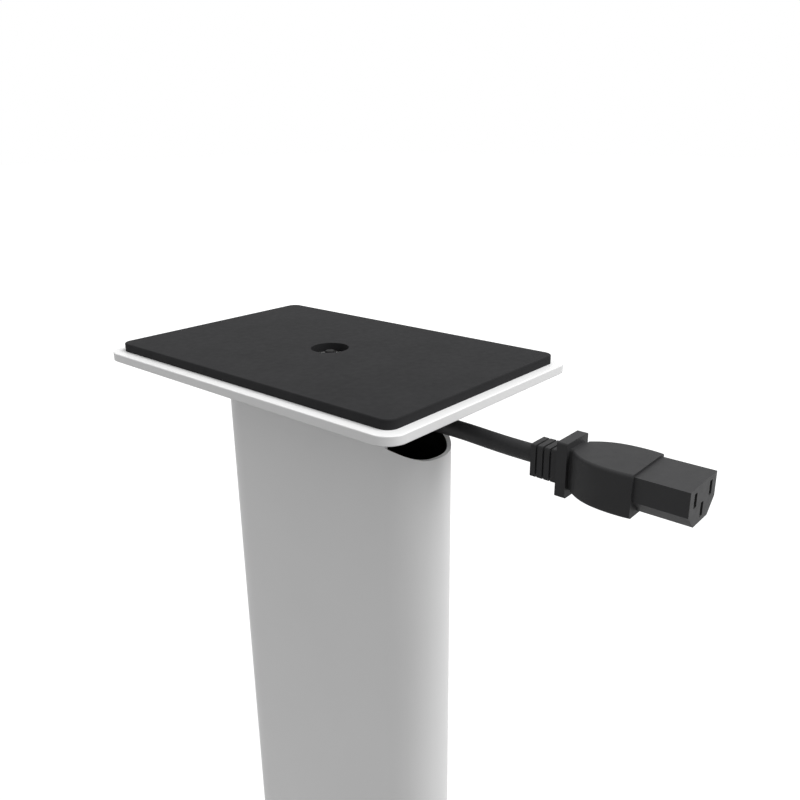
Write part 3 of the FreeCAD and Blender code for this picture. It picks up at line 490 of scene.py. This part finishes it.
def new_tree(name, inputs):
    """A Geometry Nodes tree with named inputs: name, socket type and default."""
    tree = bpy.data.node_groups.new(name, "GeometryNodeTree")
    tree.interface.new_socket("Geometry", in_out="INPUT", socket_type="NodeSocketGeometry")
    for label, kind, default in inputs:
        socket = tree.interface.new_socket(label, in_out="INPUT", socket_type="NodeSocket" + kind)
        if default is not None:
            socket.default_value = default
    tree.interface.new_socket("Geometry", in_out="OUTPUT", socket_type="NodeSocketGeometry")
    start = tree.nodes.new("NodeGroupInput")
    end = tree.nodes.new("NodeGroupOutput")
    return tree, start.outputs, end.inputs["Geometry"]


def tree_node(tree, kind, settings=(), **values):
    """A node of a tree with its settings; a value that is a socket is linked, others are set."""
    node = tree.nodes.new(kind)
    for name, setting in dict(settings).items():
        setattr(node, name, setting)
    for name, entry in values.items():
        socket = node.inputs[name.replace("_", " ")]
        if isinstance(entry, bpy.types.NodeSocket):
            tree.links.new(entry, socket)
        else:
            socket.default_value = entry
    return node


def finish_tree(tree, parts, finish_socket, end):
    """Join the parts, make instances real and set the material."""
    joined = tree.nodes.new("GeometryNodeJoinGeometry")
    for part in parts:
        tree.links.new(part, joined.inputs["Geometry"])
    real = tree_node(tree, "GeometryNodeRealizeInstances", Geometry=joined.outputs["Geometry"])
    coated = tree_node(tree, "GeometryNodeSetMaterial", Geometry=real.outputs["Geometry"],
                       Material=finish_socket)
    tree.links.new(coated.outputs["Geometry"], end)


def thread_tree():
    """A screw thread: a ridge wound right-handed round an upright core."""
    tree, given, end = new_tree("screw_thread", [
        ("Radius", "Float", 3.0 * MM), ("Pitch", "Float", 1.0 * MM), ("Length", "Float", 10.0 * MM),
        ("Foot", "Vector", (0.0, 0.0, 0.0)), ("Steps", "Int", 14), ("Finish", "Material", None)])
    half = maths(tree, "MULTIPLY", given["Pitch"], 0.5)
    line_radius = maths(tree, "SUBTRACT", given["Radius"], half)
    turns = maths(tree, "DIVIDE", given["Length"], given["Pitch"])
    spiral = tree_node(tree, "GeometryNodeCurveSpiral", Resolution=given["Steps"], Rotations=turns,
                       Start_Radius=line_radius, End_Radius=line_radius, Height=given["Length"],
                       Reverse=True)
    steady = tree_node(tree, "GeometryNodeSetCurveNormal", {"mode": "Z_UP"},
                       Curve=spiral.outputs["Curve"])
    ridge = tree_node(tree, "GeometryNodeCurvePrimitiveCircle", Resolution=4, Radius=half)
    swept = tree_node(tree, "GeometryNodeCurveToMesh", Curve=steady.outputs["Curve"],
                      Profile_Curve=ridge.outputs["Curve"], Fill_Caps=True)
    raised = tree_node(tree, "GeometryNodeTransform", Geometry=swept.outputs["Mesh"],
                       Translation=given["Foot"])
    finish_tree(tree, [given["Geometry"], raised.outputs["Geometry"]], given["Finish"], end)
    return tree


def rib_tree():
    """Ribs set along Y, each a rounded frame a little larger than the last."""
    tree, given, end = new_tree("relief_ribs", [
        ("Count", "Int", 6), ("Spacing", "Float", 3.0 * MM), ("Width", "Float", 10.0 * MM),
        ("Growth", "Float", 0.05), ("Thickness", "Float", 1.0 * MM),
        ("Foot", "Vector", (0.0, 0.0, 0.0)), ("Finish", "Material", None)])
    step = tree.nodes.new("ShaderNodeCombineXYZ")
    tree.links.new(maths(tree, "MULTIPLY", given["Spacing"], -1.0), step.inputs["Y"])
    row = tree_node(tree, "GeometryNodeMeshLine", Count=given["Count"], Offset=step.outputs["Vector"],
                    Start_Location=given["Foot"])
    frame_curve = tree_node(tree, "GeometryNodeCurvePrimitiveQuadrilateral",
                            Width=given["Width"], Height=given["Width"])
    corner = maths(tree, "MULTIPLY", given["Width"], RIB_CORNER_SHARE)
    rounded = tree_node(tree, "GeometryNodeFilletCurve", {"mode": "POLY"},
                        Curve=frame_curve.outputs["Curve"], Radius=corner, Count=6)
    section = tree_node(tree, "GeometryNodeCurvePrimitiveCircle", Resolution=8,
                        Radius=maths(tree, "MULTIPLY", given["Thickness"], 0.5))
    rib = tree_node(tree, "GeometryNodeCurveToMesh", Curve=rounded.outputs["Curve"],
                    Profile_Curve=section.outputs["Curve"])
    upright = tree_node(tree, "GeometryNodeTransform", Geometry=rib.outputs["Mesh"],
                        Rotation=(math.radians(90.0), 0.0, 0.0))
    number = tree.nodes.new("GeometryNodeInputIndex").outputs["Index"]
    scale = maths(tree, "ADD", maths(tree, "MULTIPLY", number, given["Growth"]), 1.0)
    ribs = tree_node(tree, "GeometryNodeInstanceOnPoints", Points=row.outputs["Mesh"],
                     Instance=upright.outputs["Geometry"], Scale=scale)
    finish_tree(tree, [given["Geometry"], ribs.outputs["Instances"]], given["Finish"], end)
    return tree


def grow(name, mesh, tree, slot_name, inputs):
    """Run a tree on a mesh and return its plain result."""
    host = bpy.data.objects.new(name + "_host", mesh)
    bpy.context.scene.collection.objects.link(host)
    modifier = host.modifiers.new(tree.name, "NODES")
    modifier.node_group = tree
    sockets = {item.name: item.identifier for item in tree.interface.items_tree
               if item.item_type == "SOCKET" and item.in_out == "INPUT"}
    for label, entry in inputs.items():
        modifier[sockets[label]] = entry
    modifier[sockets["Finish"]] = material(slot_name)
    host.update_tag()
    depsgraph = bpy.context.evaluated_depsgraph_get()
    result = bpy.data.meshes.new_from_object(host.evaluated_get(depsgraph), depsgraph=depsgraph)
    bpy.data.objects.remove(host)
    result.materials.clear()
    result.name = name
    if len(result.polygons) <= len(mesh.polygons):
        raise RuntimeError("%s grew nothing" % name)
    return result


# ---- stage ---------------------------------------------------------------------------------

CAMERA_PLACE = Vector((0.254736, 0.265743, 0.709205))
CAMERA_AZIMUTH = 130.9742
CAMERA_ELEVATION = 18.9718
CAMERA_ROLL = -0.6359
CAMERA_LENS = 35.28
SENSOR = 36.0

LIT_SHARE = 0.8                 # the lamps face this share of the stand's height
KEY_OFFSET = Vector((-0.6, 1.3, 2.2))
KEY_SIDE = 1.4
TOP_OFFSET = Vector((-0.2, 0.3, 1.8))
TOP_SIDE = 1.6

FLOOR_REACH = 20.0
FLOOR_SEEN = (0.50, 0.50, 0.50, 1.0)    # the floor as it is looked at
FLOOR_BOUNCE = (0.22, 0.22, 0.22, 1.0)  # and as it throws light back up at the stand
FLOOR_GLOW = (0.5, 3.0, 0.55, 0.90)     # near and far, metres, and the lift to white at each


def camera_turn():
    """The camera's axes from its azimuth, elevation and roll."""
    azimuth, elevation, roll = (math.radians(angle) for angle in
                                (CAMERA_AZIMUTH, CAMERA_ELEVATION, CAMERA_ROLL))
    back = Vector((math.sin(azimuth) * math.cos(elevation),
                   -math.cos(azimuth) * math.cos(elevation), math.sin(elevation)))
    right = (-back).cross(Vector((0, 0, 1))).normalized()
    up = back.cross(right)
    rolled = right * math.cos(roll) + up * math.sin(roll)
    return Matrix((rolled, back.cross(rolled), back)).transposed()


def add_lamp(name, place, target, side, power):
    """A large soft lamp aimed at a point."""
    data = bpy.data.lights.new(name, "AREA")
    data.shape = "SQUARE"
    data.size = side
    data.energy = power
    lamp = bpy.data.objects.new(name, data)
    lamp.location = place
    lamp.rotation_mode = "QUATERNION"
    lamp.rotation_quaternion = (Vector(target) - Vector(place)).to_track_quat("-Z", "Y")
    bpy.context.scene.collection.objects.link(lamp)
    return lamp


def seen_rays(tree):
    """1 for camera, glossy and transmission rays, 0 for the rays that light the object."""
    path = tree.nodes.new("ShaderNodeLightPath")
    total = path.outputs["Is Camera Ray"]
    for name in ("Is Glossy Ray", "Is Transmission Ray"):
        total = maths(tree, "MAXIMUM", total, path.outputs[name])
    return total


def make_world(strength):
    """White to the camera, and a plain soft light on everything."""
    world = bpy.data.worlds.new("studio")
    world.use_nodes = True
    tree = world.node_tree
    background = tree.nodes["Background"]
    background.inputs["Color"].default_value = (1.0, 1.0, 1.0, 1.0)
    ramp = tree.nodes.new("ShaderNodeMapRange")
    ramp.inputs["To Min"].default_value = strength
    ramp.inputs["To Max"].default_value = 1.0
    tree.links.new(seen_rays(tree), ramp.inputs["Value"])
    tree.links.new(ramp.outputs["Result"], background.inputs["Strength"])
    bpy.context.scene.world = world


def make_floor():
    """A wide pale floor that keeps the stand's shadow and is white where nothing shades it."""
    signs = ((-1, -1), (1, -1), (1, 1), (-1, 1))
    corners = [(x * FLOOR_REACH, y * FLOOR_REACH, 0) for x, y in signs]
    mesh = bpy.data.meshes.new("floor")
    mesh.from_pydata(corners, [], [(0, 1, 2, 3)])
    floor = bpy.data.objects.new("floor", mesh)
    bpy.context.scene.collection.objects.link(floor)
    paint = bpy.data.materials.new("floor_paint")
    paint.use_nodes = True
    tree = paint.node_tree
    shader = tree.nodes["Principled BSDF"]
    shader.inputs["Base Color"].default_value = FLOOR_SEEN
    shader.inputs["Roughness"].default_value = 0.9
    shader.inputs["Specular IOR Level"].default_value = 0.0
    glow = tree.nodes.new("ShaderNodeEmission")
    place = tree.nodes.new("ShaderNodeTexCoord")
    distance = tree.nodes.new("ShaderNodeVectorMath")
    distance.operation = "LENGTH"
    tree.links.new(place.outputs["Object"], distance.inputs[0])
    fade = tree.nodes.new("ShaderNodeMapRange")
    tree.links.new(distance.outputs["Value"], fade.inputs["Value"])
    for name, entry in zip(("From Min", "From Max", "To Min", "To Max"), FLOOR_GLOW):
        fade.inputs[name].default_value = entry
    tree.links.new(fade.outputs["Result"], glow.inputs["Strength"])
    both = tree.nodes.new("ShaderNodeAddShader")
    tree.links.new(shader.outputs["BSDF"], both.inputs[0])
    tree.links.new(glow.outputs["Emission"], both.inputs[1])
    choice = tree.nodes.new("ShaderNodeMixShader")
    tree.links.new(seen_rays(tree), choice.inputs["Fac"])
    bounce = tree.nodes.new("ShaderNodeBsdfDiffuse")
    bounce.inputs["Color"].default_value = FLOOR_BOUNCE
    tree.links.new(bounce.outputs["BSDF"], choice.inputs[1])
    tree.links.new(both.outputs["Shader"], choice.inputs[2])
    tree.links.new(choice.outputs["Shader"], tree.nodes["Material Output"].inputs["Surface"])
    mesh.materials.append(paint)


class STAND_OT_stage(bpy.types.Operator):
    """Camera at the photograph's angle, pale floor, white surround and soft lamps"""
    bl_idname = "stand.stage"
    bl_label = "Stage"

    def execute(self, context):
        studio = context.scene.stand_studio
        data = bpy.data.cameras.new("camera")
        data.sensor_width = SENSOR
        data.lens = CAMERA_LENS
        data.clip_start = 0.01
        camera = bpy.data.objects.new("camera", data)
        camera.matrix_world = Matrix.Translation(CAMERA_PLACE) @ camera_turn().to_4x4()
        context.scene.collection.objects.link(camera)
        context.scene.camera = camera
        context.scene.view_settings.view_transform = "Standard"
        make_world(studio.sky)
        make_floor()
        target = Vector((0.0, 0.0, HEIGHT * LIT_SHARE))
        add_lamp("key_lamp", target + KEY_OFFSET, target, KEY_SIDE, studio.key)
        add_lamp("top_lamp", target + TOP_OFFSET, target, TOP_SIDE, studio.top)
        return {"FINISHED"}


# ---- leads ---------------------------------------------------------------------------------

OUTLET_Y = 70.0                 # where the lead passes the column's rear wall, millimetres
CONNECTOR_Y = 117.0             # where it enters the connector
CONNECTOR_LEVEL = 585.9
EXIT_LEVEL = 587.1
FOOT_LEVEL = 26.75              # the lead in the lower outlet and in the coil's lower layer
COIL_Y = 107.0
PLUG_Y = 58.0
PLUG_LEVEL = 34.8


def cord_curve(name, points, diameter):
    """An open smooth curve of the lead's thickness through given millimetre points."""
    curve = bpy.data.curves.new(name, "CURVE")
    curve.dimensions = "3D"
    curve.bevel_depth = diameter / 2
    curve.bevel_resolution = 5
    curve.resolution_u = 6
    curve.use_fill_caps = True
    spline = curve.splines.new("NURBS")
    spline.points.add(len(points) - 1)
    for point, place in zip(spline.points, points):
        point.co = (*(part * MM for part in place), 1.0)
    spline.order_u = 3
    spline.use_endpoint_u = True
    return curve


def free_route():
    """The stretch that shows, out of the upper outlet and a little down to the connector."""
    reach = CONNECTOR_Y - OUTLET_Y
    lift = EXIT_LEVEL - CONNECTOR_LEVEL
    shares = [(0.0, 1.0), (0.22, 1.0), (0.49, 0.42), (0.76, 0.0), (1.0, 0.0)]
    return [(0.0, OUTLET_Y + way * reach, CONNECTOR_LEVEL + up * lift) for way, up in shares]


def inner_route():
    """The stretch inside the column, from the upper outlet down to the lower one."""
    bend = [(24.2, 0.0), (45.1, 12.1), (57.2, 33.0)]
    drift = [(0.5, 13.2, 0.895), (1.5, 14.8, 0.820), (2.0, 16.8, 0.715), (0.6, 18.2, 0.610),
             (-1.6, 17.0, 0.505), (-2.2, 15.2, 0.400), (-0.6, 15.8, 0.295), (1.0, 14.6, 0.185),
             (0.4, 13.2, 0.105)]
    points = [(0.0, OUTLET_Y, EXIT_LEVEL)]
    points += [(0.0, OUTLET_Y - forward, EXIT_LEVEL - away) for forward, away in bend]
    points += [(x, y, FOOT_LEVEL + share * (EXIT_LEVEL - FOOT_LEVEL)) for x, y, share in drift]
    points += [(0.0, OUTLET_Y - forward, FOOT_LEVEL + away) for forward, away in reversed(bend)]
    points += [(0.0, OUTLET_Y, FOOT_LEVEL)]
    return points


def coil_place(turn, leads, spread=1.0):
    """Place on the coil's middle line after so many turns, its radius times spread."""
    radius, pitch = leads.coil_radius / MM, leads.coil_pitch / MM
    layer, half = leads.layer_turns, 0.5
    inner = radius - layer * pitch
    if turn < layer:
        reach, climb = radius - pitch * turn, 0.0
    elif turn < layer + half:
        past = turn - layer
        reach = inner - pitch * past + pitch * past ** 2 / half
        climb = 0.5 - 0.5 * math.cos(math.pi * past / half)
    else:
        reach, climb = inner + pitch * (turn - layer - half), 1.0
    angle = 2 * math.pi * turn
    return (reach * spread * math.cos(angle) - radius,
            reach * spread * math.sin(angle) + COIL_Y, FOOT_LEVEL + climb * pitch)


def stored_route(leads):
    """Out of the lower outlet, round the coil in two layers and back to the plug."""
    turns = 2 * leads.layer_turns + 0.5
    count = int(turns * leads.turn_points)
    spread = 1 / math.cos(math.pi / leads.turn_points)
    points = [(0.0, OUTLET_Y, FOOT_LEVEL), (0.0, (OUTLET_Y + COIL_Y) / 2, FOOT_LEVEL)]
    points += [coil_place((step + 0.5) / leads.turn_points, leads, spread) for step in range(count)]
    end = coil_place(turns, leads)
    side = end[0]
    entry = end[1] - leads.coil_radius / MM * math.tan(math.pi / leads.turn_points)
    run = (COIL_Y - PLUG_Y) / 3
    points += [(side, entry, end[2]), (side, COIL_Y - run, end[2]),
               (side, COIL_Y - 2 * run, PLUG_LEVEL), (side, PLUG_Y, PLUG_LEVEL)]
    return points


class STAND_OT_leads(bpy.types.Operator):
    """The mains lead: the free stretch, the one inside the column and the put-away coil"""
    bl_idname = "stand.leads"
    bl_label = "Leads"

    def execute(self, context):
        leads = context.scene.stand_leads
        thick = leads.diameter
        free = new_piece("free_lead", cord_curve("free_lead", free_route(), thick),
                         "lead_sheath", "stand", ["lead_upper"])
        new_piece("inner_lead", cord_curve("inner_lead", inner_route(), thick),
                  "lead_sheath", "stand", ["lead_riser"])
        stored = new_piece("stored_lead", cord_curve("stored_lead", stored_route(leads), thick),
                           "lead_sheath", "stand", ["lead_lower", "lead_coil", "lead_end"])
        return {"FINISHED"}


class STAND_OT_steelwork(bpy.types.Operator):
    """Powder coat on plates and column, black oxide on the bridges and zinc on the screws"""
    bl_idname = "stand.steelwork"
    bl_label = "Steelwork"

    def execute(self, context):
        dress("base_plate", "top_plate", "lower_bridge", "upper_bridge")
        dress("top_plate_screws", "base_plate_screws")
        colours = context.scene.stand_colours
        # The column gets powder coat outside and painted shade, a near-black colour, on its inner
        # wall.
        walls = NODES["column"].data.materials
        walls.clear()
        walls.append(column_finish(colours.coat, colours.inside))
        return {"FINISHED"}


class STAND_OT_pad(bpy.types.Operator):
    """Rubber pad on the top plate"""
    bl_idname = "stand.pad"
    bl_label = "Pad"

    def execute(self, context):
        dress("top_pad")
        return {"FINISHED"}


THREAD_DEPTH = 0.55             # of a thread, as a share of its pitch
ROD_CHAMFER = 0.9 * MM


class STAND_OT_tie_rod(bpy.types.Operator):
    """Threaded tie rod through the column, with its nuts and washers"""
    bl_idname = "stand.tie_rod"
    bl_label = "Tie rod"

    def execute(self, context):
        threads = context.scene.stand_threads
        bottom, top = low("tie_rod").z, high("tie_rod").z
        radius = (high("tie_rod").x - low("tie_rod").x) / 2
        core, cut = radius - threads.rod_pitch * THREAD_DEPTH, ROD_CHAMFER / 2
        rings = [(bottom, core - cut, False), (bottom + cut, core, False),
                 (top - cut, core, False), (top, core - cut, False)]
        shaft = turned("tie_rod_core", Vector((0, 0, 0)), rings, 24)
        mesh = grow("threaded_tie_rod", shaft, thread_tree(), "dark_steel", {
            "Radius": radius, "Pitch": threads.rod_pitch, "Steps": threads.steps,
            "Length": top - bottom - 2 * ROD_CHAMFER, "Foot": (0.0, 0.0, bottom + ROD_CHAMFER)})
        new_piece("threaded_tie_rod", mesh, "dark_steel", "stand", ["tie_rod"])
        dress("tie_rod_nuts", "tie_rod_washers")
        return {"FINISHED"}


STEM_HEAD_RADIUS = 5.4 * MM
STEM_HEAD_TOP = 6.95 * MM
STEM_RADIUS = 4.0 * MM          # of the neck, and of the thread's crest
STEM_COLLAR_FLATS = 13.0 * MM
STEM_COLLAR = (9.3 * MM, 14.0 * MM)
STEM_SOCKET_FLATS = 4.0 * MM
STEM_SOCKET_DEPTH = 4.0 * MM
STEM_BEVEL = 0.35 * MM


def stem_rings(bottom, top, core):
    """Rings of a levelling stem: head, neck, hexagonal collar, threaded shank and socket."""
    head, bevel = STEM_HEAD_RADIUS, STEM_BEVEL
    flats, socket = STEM_COLLAR_FLATS / 2, STEM_SOCKET_FLATS / 2
    under, over = STEM_COLLAR
    return [(bottom, head - bevel, False), (bottom + bevel, head, False),
            (STEM_HEAD_TOP - bevel, head, False), (STEM_HEAD_TOP, head - bevel, False),
            (STEM_HEAD_TOP, STEM_RADIUS, False), (under, STEM_RADIUS, False),
            (under, flats - bevel, True), (under + bevel, flats, True),
            (over - bevel, flats, True), (over, flats - bevel, True), (over, core, False),
            (top - bevel, core, False), (top, core - bevel, False),
            (top, socket, True), (top - STEM_SOCKET_DEPTH, socket, True)]


class STAND_OT_feet(bpy.types.Operator):
    """Levelling feet: rubber soles, glides and threaded stems"""
    bl_idname = "stand.feet"
    bl_label = "Feet"

    def execute(self, context):
        threads = context.scene.stand_threads
        pitch = threads.stem_pitch
        core = STEM_RADIUS - pitch * THREAD_DEPTH
        tree = thread_tree()
        for foot in FEET:
            node, name = "foot_stem_" + foot, "levelling_stem_" + foot
            centre = middle(node)
            bottom, top = low(node).z, high(node).z
            solid = turned(node + "_core", centre, stem_rings(bottom, top, core))
            mesh = grow(name, solid, tree, "bare_steel", {
                "Radius": STEM_RADIUS, "Pitch": pitch, "Steps": 2 * threads.steps,
                "Length": top - STEM_COLLAR[1] - pitch,
                "Foot": (centre.x, centre.y, STEM_COLLAR[1] + pitch / 2)})
            new_piece(name, mesh, "bare_steel", "foot_stem_%s_body" % foot, [node])
            dress("foot_glide_" + foot, "foot_sole_" + foot)
        return {"FINISHED"}


class STAND_OT_connector(bpy.types.Operator):
    """Moulded appliance connector at the end of the free stretch"""
    bl_idname = "stand.connector"
    bl_label = "Connector"

    def execute(self, context):
        dress("connector_body", "connector_nose", "connector_contacts")
        return {"FINISHED"}


RIB_SETBACK = 1.4 * MM          # from the plug's rear end to the first rib
RIB_SPACING = 3.3 * MM
RIB_WIDTH = 10.2 * MM
RIB_THICKNESS = 1.3 * MM
RIB_GROWTH = 0.045              # each rib is larger than the last by this share
RIB_CORNER_SHARE = 0.35         # corner radius of a rib, as a share of its width
RIB_PIN_RADIUS = 0.5 * MM       # pin inside the moulding that carries the ribs
RIB_PIN_HALF_HEIGHT = 4.0 * MM


class STAND_OT_plug(bpy.types.Operator):
    """Moulded mains plug with ribs on its strain relief"""
    bl_idname = "stand.plug"
    bl_label = "Plug"

    def execute(self, context):
        dress("plug_body", "plug_face", "plug_blades", "plug_earth_pin")
        first = Vector((middle("plug_body").x, high("plug_body").y - RIB_SETBACK, PLUG_LEVEL * MM))
        pin = turned("plug_ribs_pin", first,
                     [(first.z - RIB_PIN_HALF_HEIGHT, RIB_PIN_RADIUS, False),
                      (first.z + RIB_PIN_HALF_HEIGHT, RIB_PIN_RADIUS, False)], 8)
        mesh = grow("plug_ribs", pin, rib_tree(), "connector_plastic", {
            "Count": context.scene.stand_threads.rib_count, "Spacing": RIB_SPACING,
            "Width": RIB_WIDTH, "Growth": RIB_GROWTH, "Thickness": RIB_THICKNESS,
            "Foot": tuple(first)})
        new_piece("plug_ribs", mesh, "connector_plastic", "stand")
        return {"FINISHED"}


STRAP_THICKNESS = 0.8 * MM
STRAP_CORNER_STEPS = 8
STRAP_LAP = 0.2                 # the lap starts this share of the thickness above the band
STRAP_TONGUE = ((0.35, 0.95), (0.60, 0.95), (0.85, 1.05), (1.00, 1.30))  # shares: along, and up


class STAND_OT_strap(bpy.types.Operator):
    """Hook and loop strap round the coil, its free end lapped over the top"""
    bl_idname = "stand.strap"
    bl_label = "Strap"

    def execute(self, context):
        leads = context.scene.stand_leads
        lowest, highest, centre = low("coil_tie"), high("coil_tie"), middle("coil_tie")
        corner = leads.diameter / 2 + STRAP_THICKNESS
        radius = corner - STRAP_THICKNESS / 2
        half_y = (highest.y - lowest.y) / 2 - corner
        half_z = (highest.z - lowest.z) / 2 - corner
        corners = [(half_y, half_z), (-half_y, half_z), (-half_y, -half_z), (half_y, -half_z)]
        arcs = []
        for quarter, (along_y, along_z) in enumerate(corners):
            for step in range(STRAP_CORNER_STEPS + 1):
                angle = math.radians(90 * (quarter + step / STRAP_CORNER_STEPS))
                arcs.append((centre.y + along_y + radius * math.cos(angle),
                             centre.z + along_z + radius * math.sin(angle)))
        near, top = centre.y + half_y, centre.z + half_z + radius
        arcs.append((near, top + STRAP_THICKNESS * STRAP_LAP))
        tongue = [(near - leads.strap_tongue * share, top + STRAP_THICKNESS * (STRAP_LAP + rise))
                  for share, rise in STRAP_TONGUE]
        first = STRAP_CORNER_STEPS + 1
        line = arcs[first:] + arcs[:first] + arcs[first:first + 2] + tongue
        mesh = band_mesh("coil_strap", line, lowest.x, highest.x, STRAP_THICKNESS)
        new_piece("coil_strap", mesh, "tie_fabric", "stand", ["coil_tie"])
        return {"FINISHED"}


# ---- the add-on ----------------------------------------------------------------------------


OPERATORS = (STAND_OT_stage, STAND_OT_connector, STAND_OT_plug, STAND_OT_strap, STAND_OT_leads,
             STAND_OT_steelwork, STAND_OT_pad, STAND_OT_tie_rod, STAND_OT_feet)


class STAND_PT_panel(bpy.types.Panel):
    """Buttons for each piece of the stand"""
    bl_idname = "STAND_PT_panel"
    bl_label = "Speaker stand"
    bl_space_type = "VIEW_3D"
    bl_region_type = "UI"
    bl_category = "Stand"

    def draw(self, context):
        for group in (context.scene.stand_leads, context.scene.stand_threads,
                      context.scene.stand_colours, context.scene.stand_studio):
            box = self.layout.box()
            for name in group.bl_rna.properties.keys():
                if name not in ("rna_type", "name"):
                    box.prop(group, name)
        for operator in OPERATORS:
            self.layout.operator(operator.bl_idname)


GROUPS = {"stand_leads": StandLeads, "stand_threads": StandThreads,
          "stand_colours": StandColours, "stand_studio": StandStudio}


def register():
    """Make the groups, operators and panel known."""
    for name, group in GROUPS.items():
        bpy.utils.register_class(group)
        setattr(bpy.types.Scene, name, bpy.props.PointerProperty(type=group))
    for operator in OPERATORS:
        bpy.utils.register_class(operator)
    bpy.utils.register_class(STAND_PT_panel)


def unregister():
    """Take them out again."""
    bpy.utils.unregister_class(STAND_PT_panel)
    for operator in reversed(OPERATORS):
        bpy.utils.unregister_class(operator)
    for name, group in GROUPS.items():
        delattr(bpy.types.Scene, name)
        bpy.utils.unregister_class(group)


def main():
    """Dress the whole stand."""
    register()
    bpy.ops.stand.stage()
    bpy.ops.stand.connector()
    bpy.ops.stand.plug()
    bpy.ops.stand.strap()
    bpy.ops.stand.leads()
    bpy.ops.stand.steelwork()
    bpy.ops.stand.pad()
    bpy.ops.stand.tie_rod()
    bpy.ops.stand.feet()


if __name__ == "__main__":
    main()
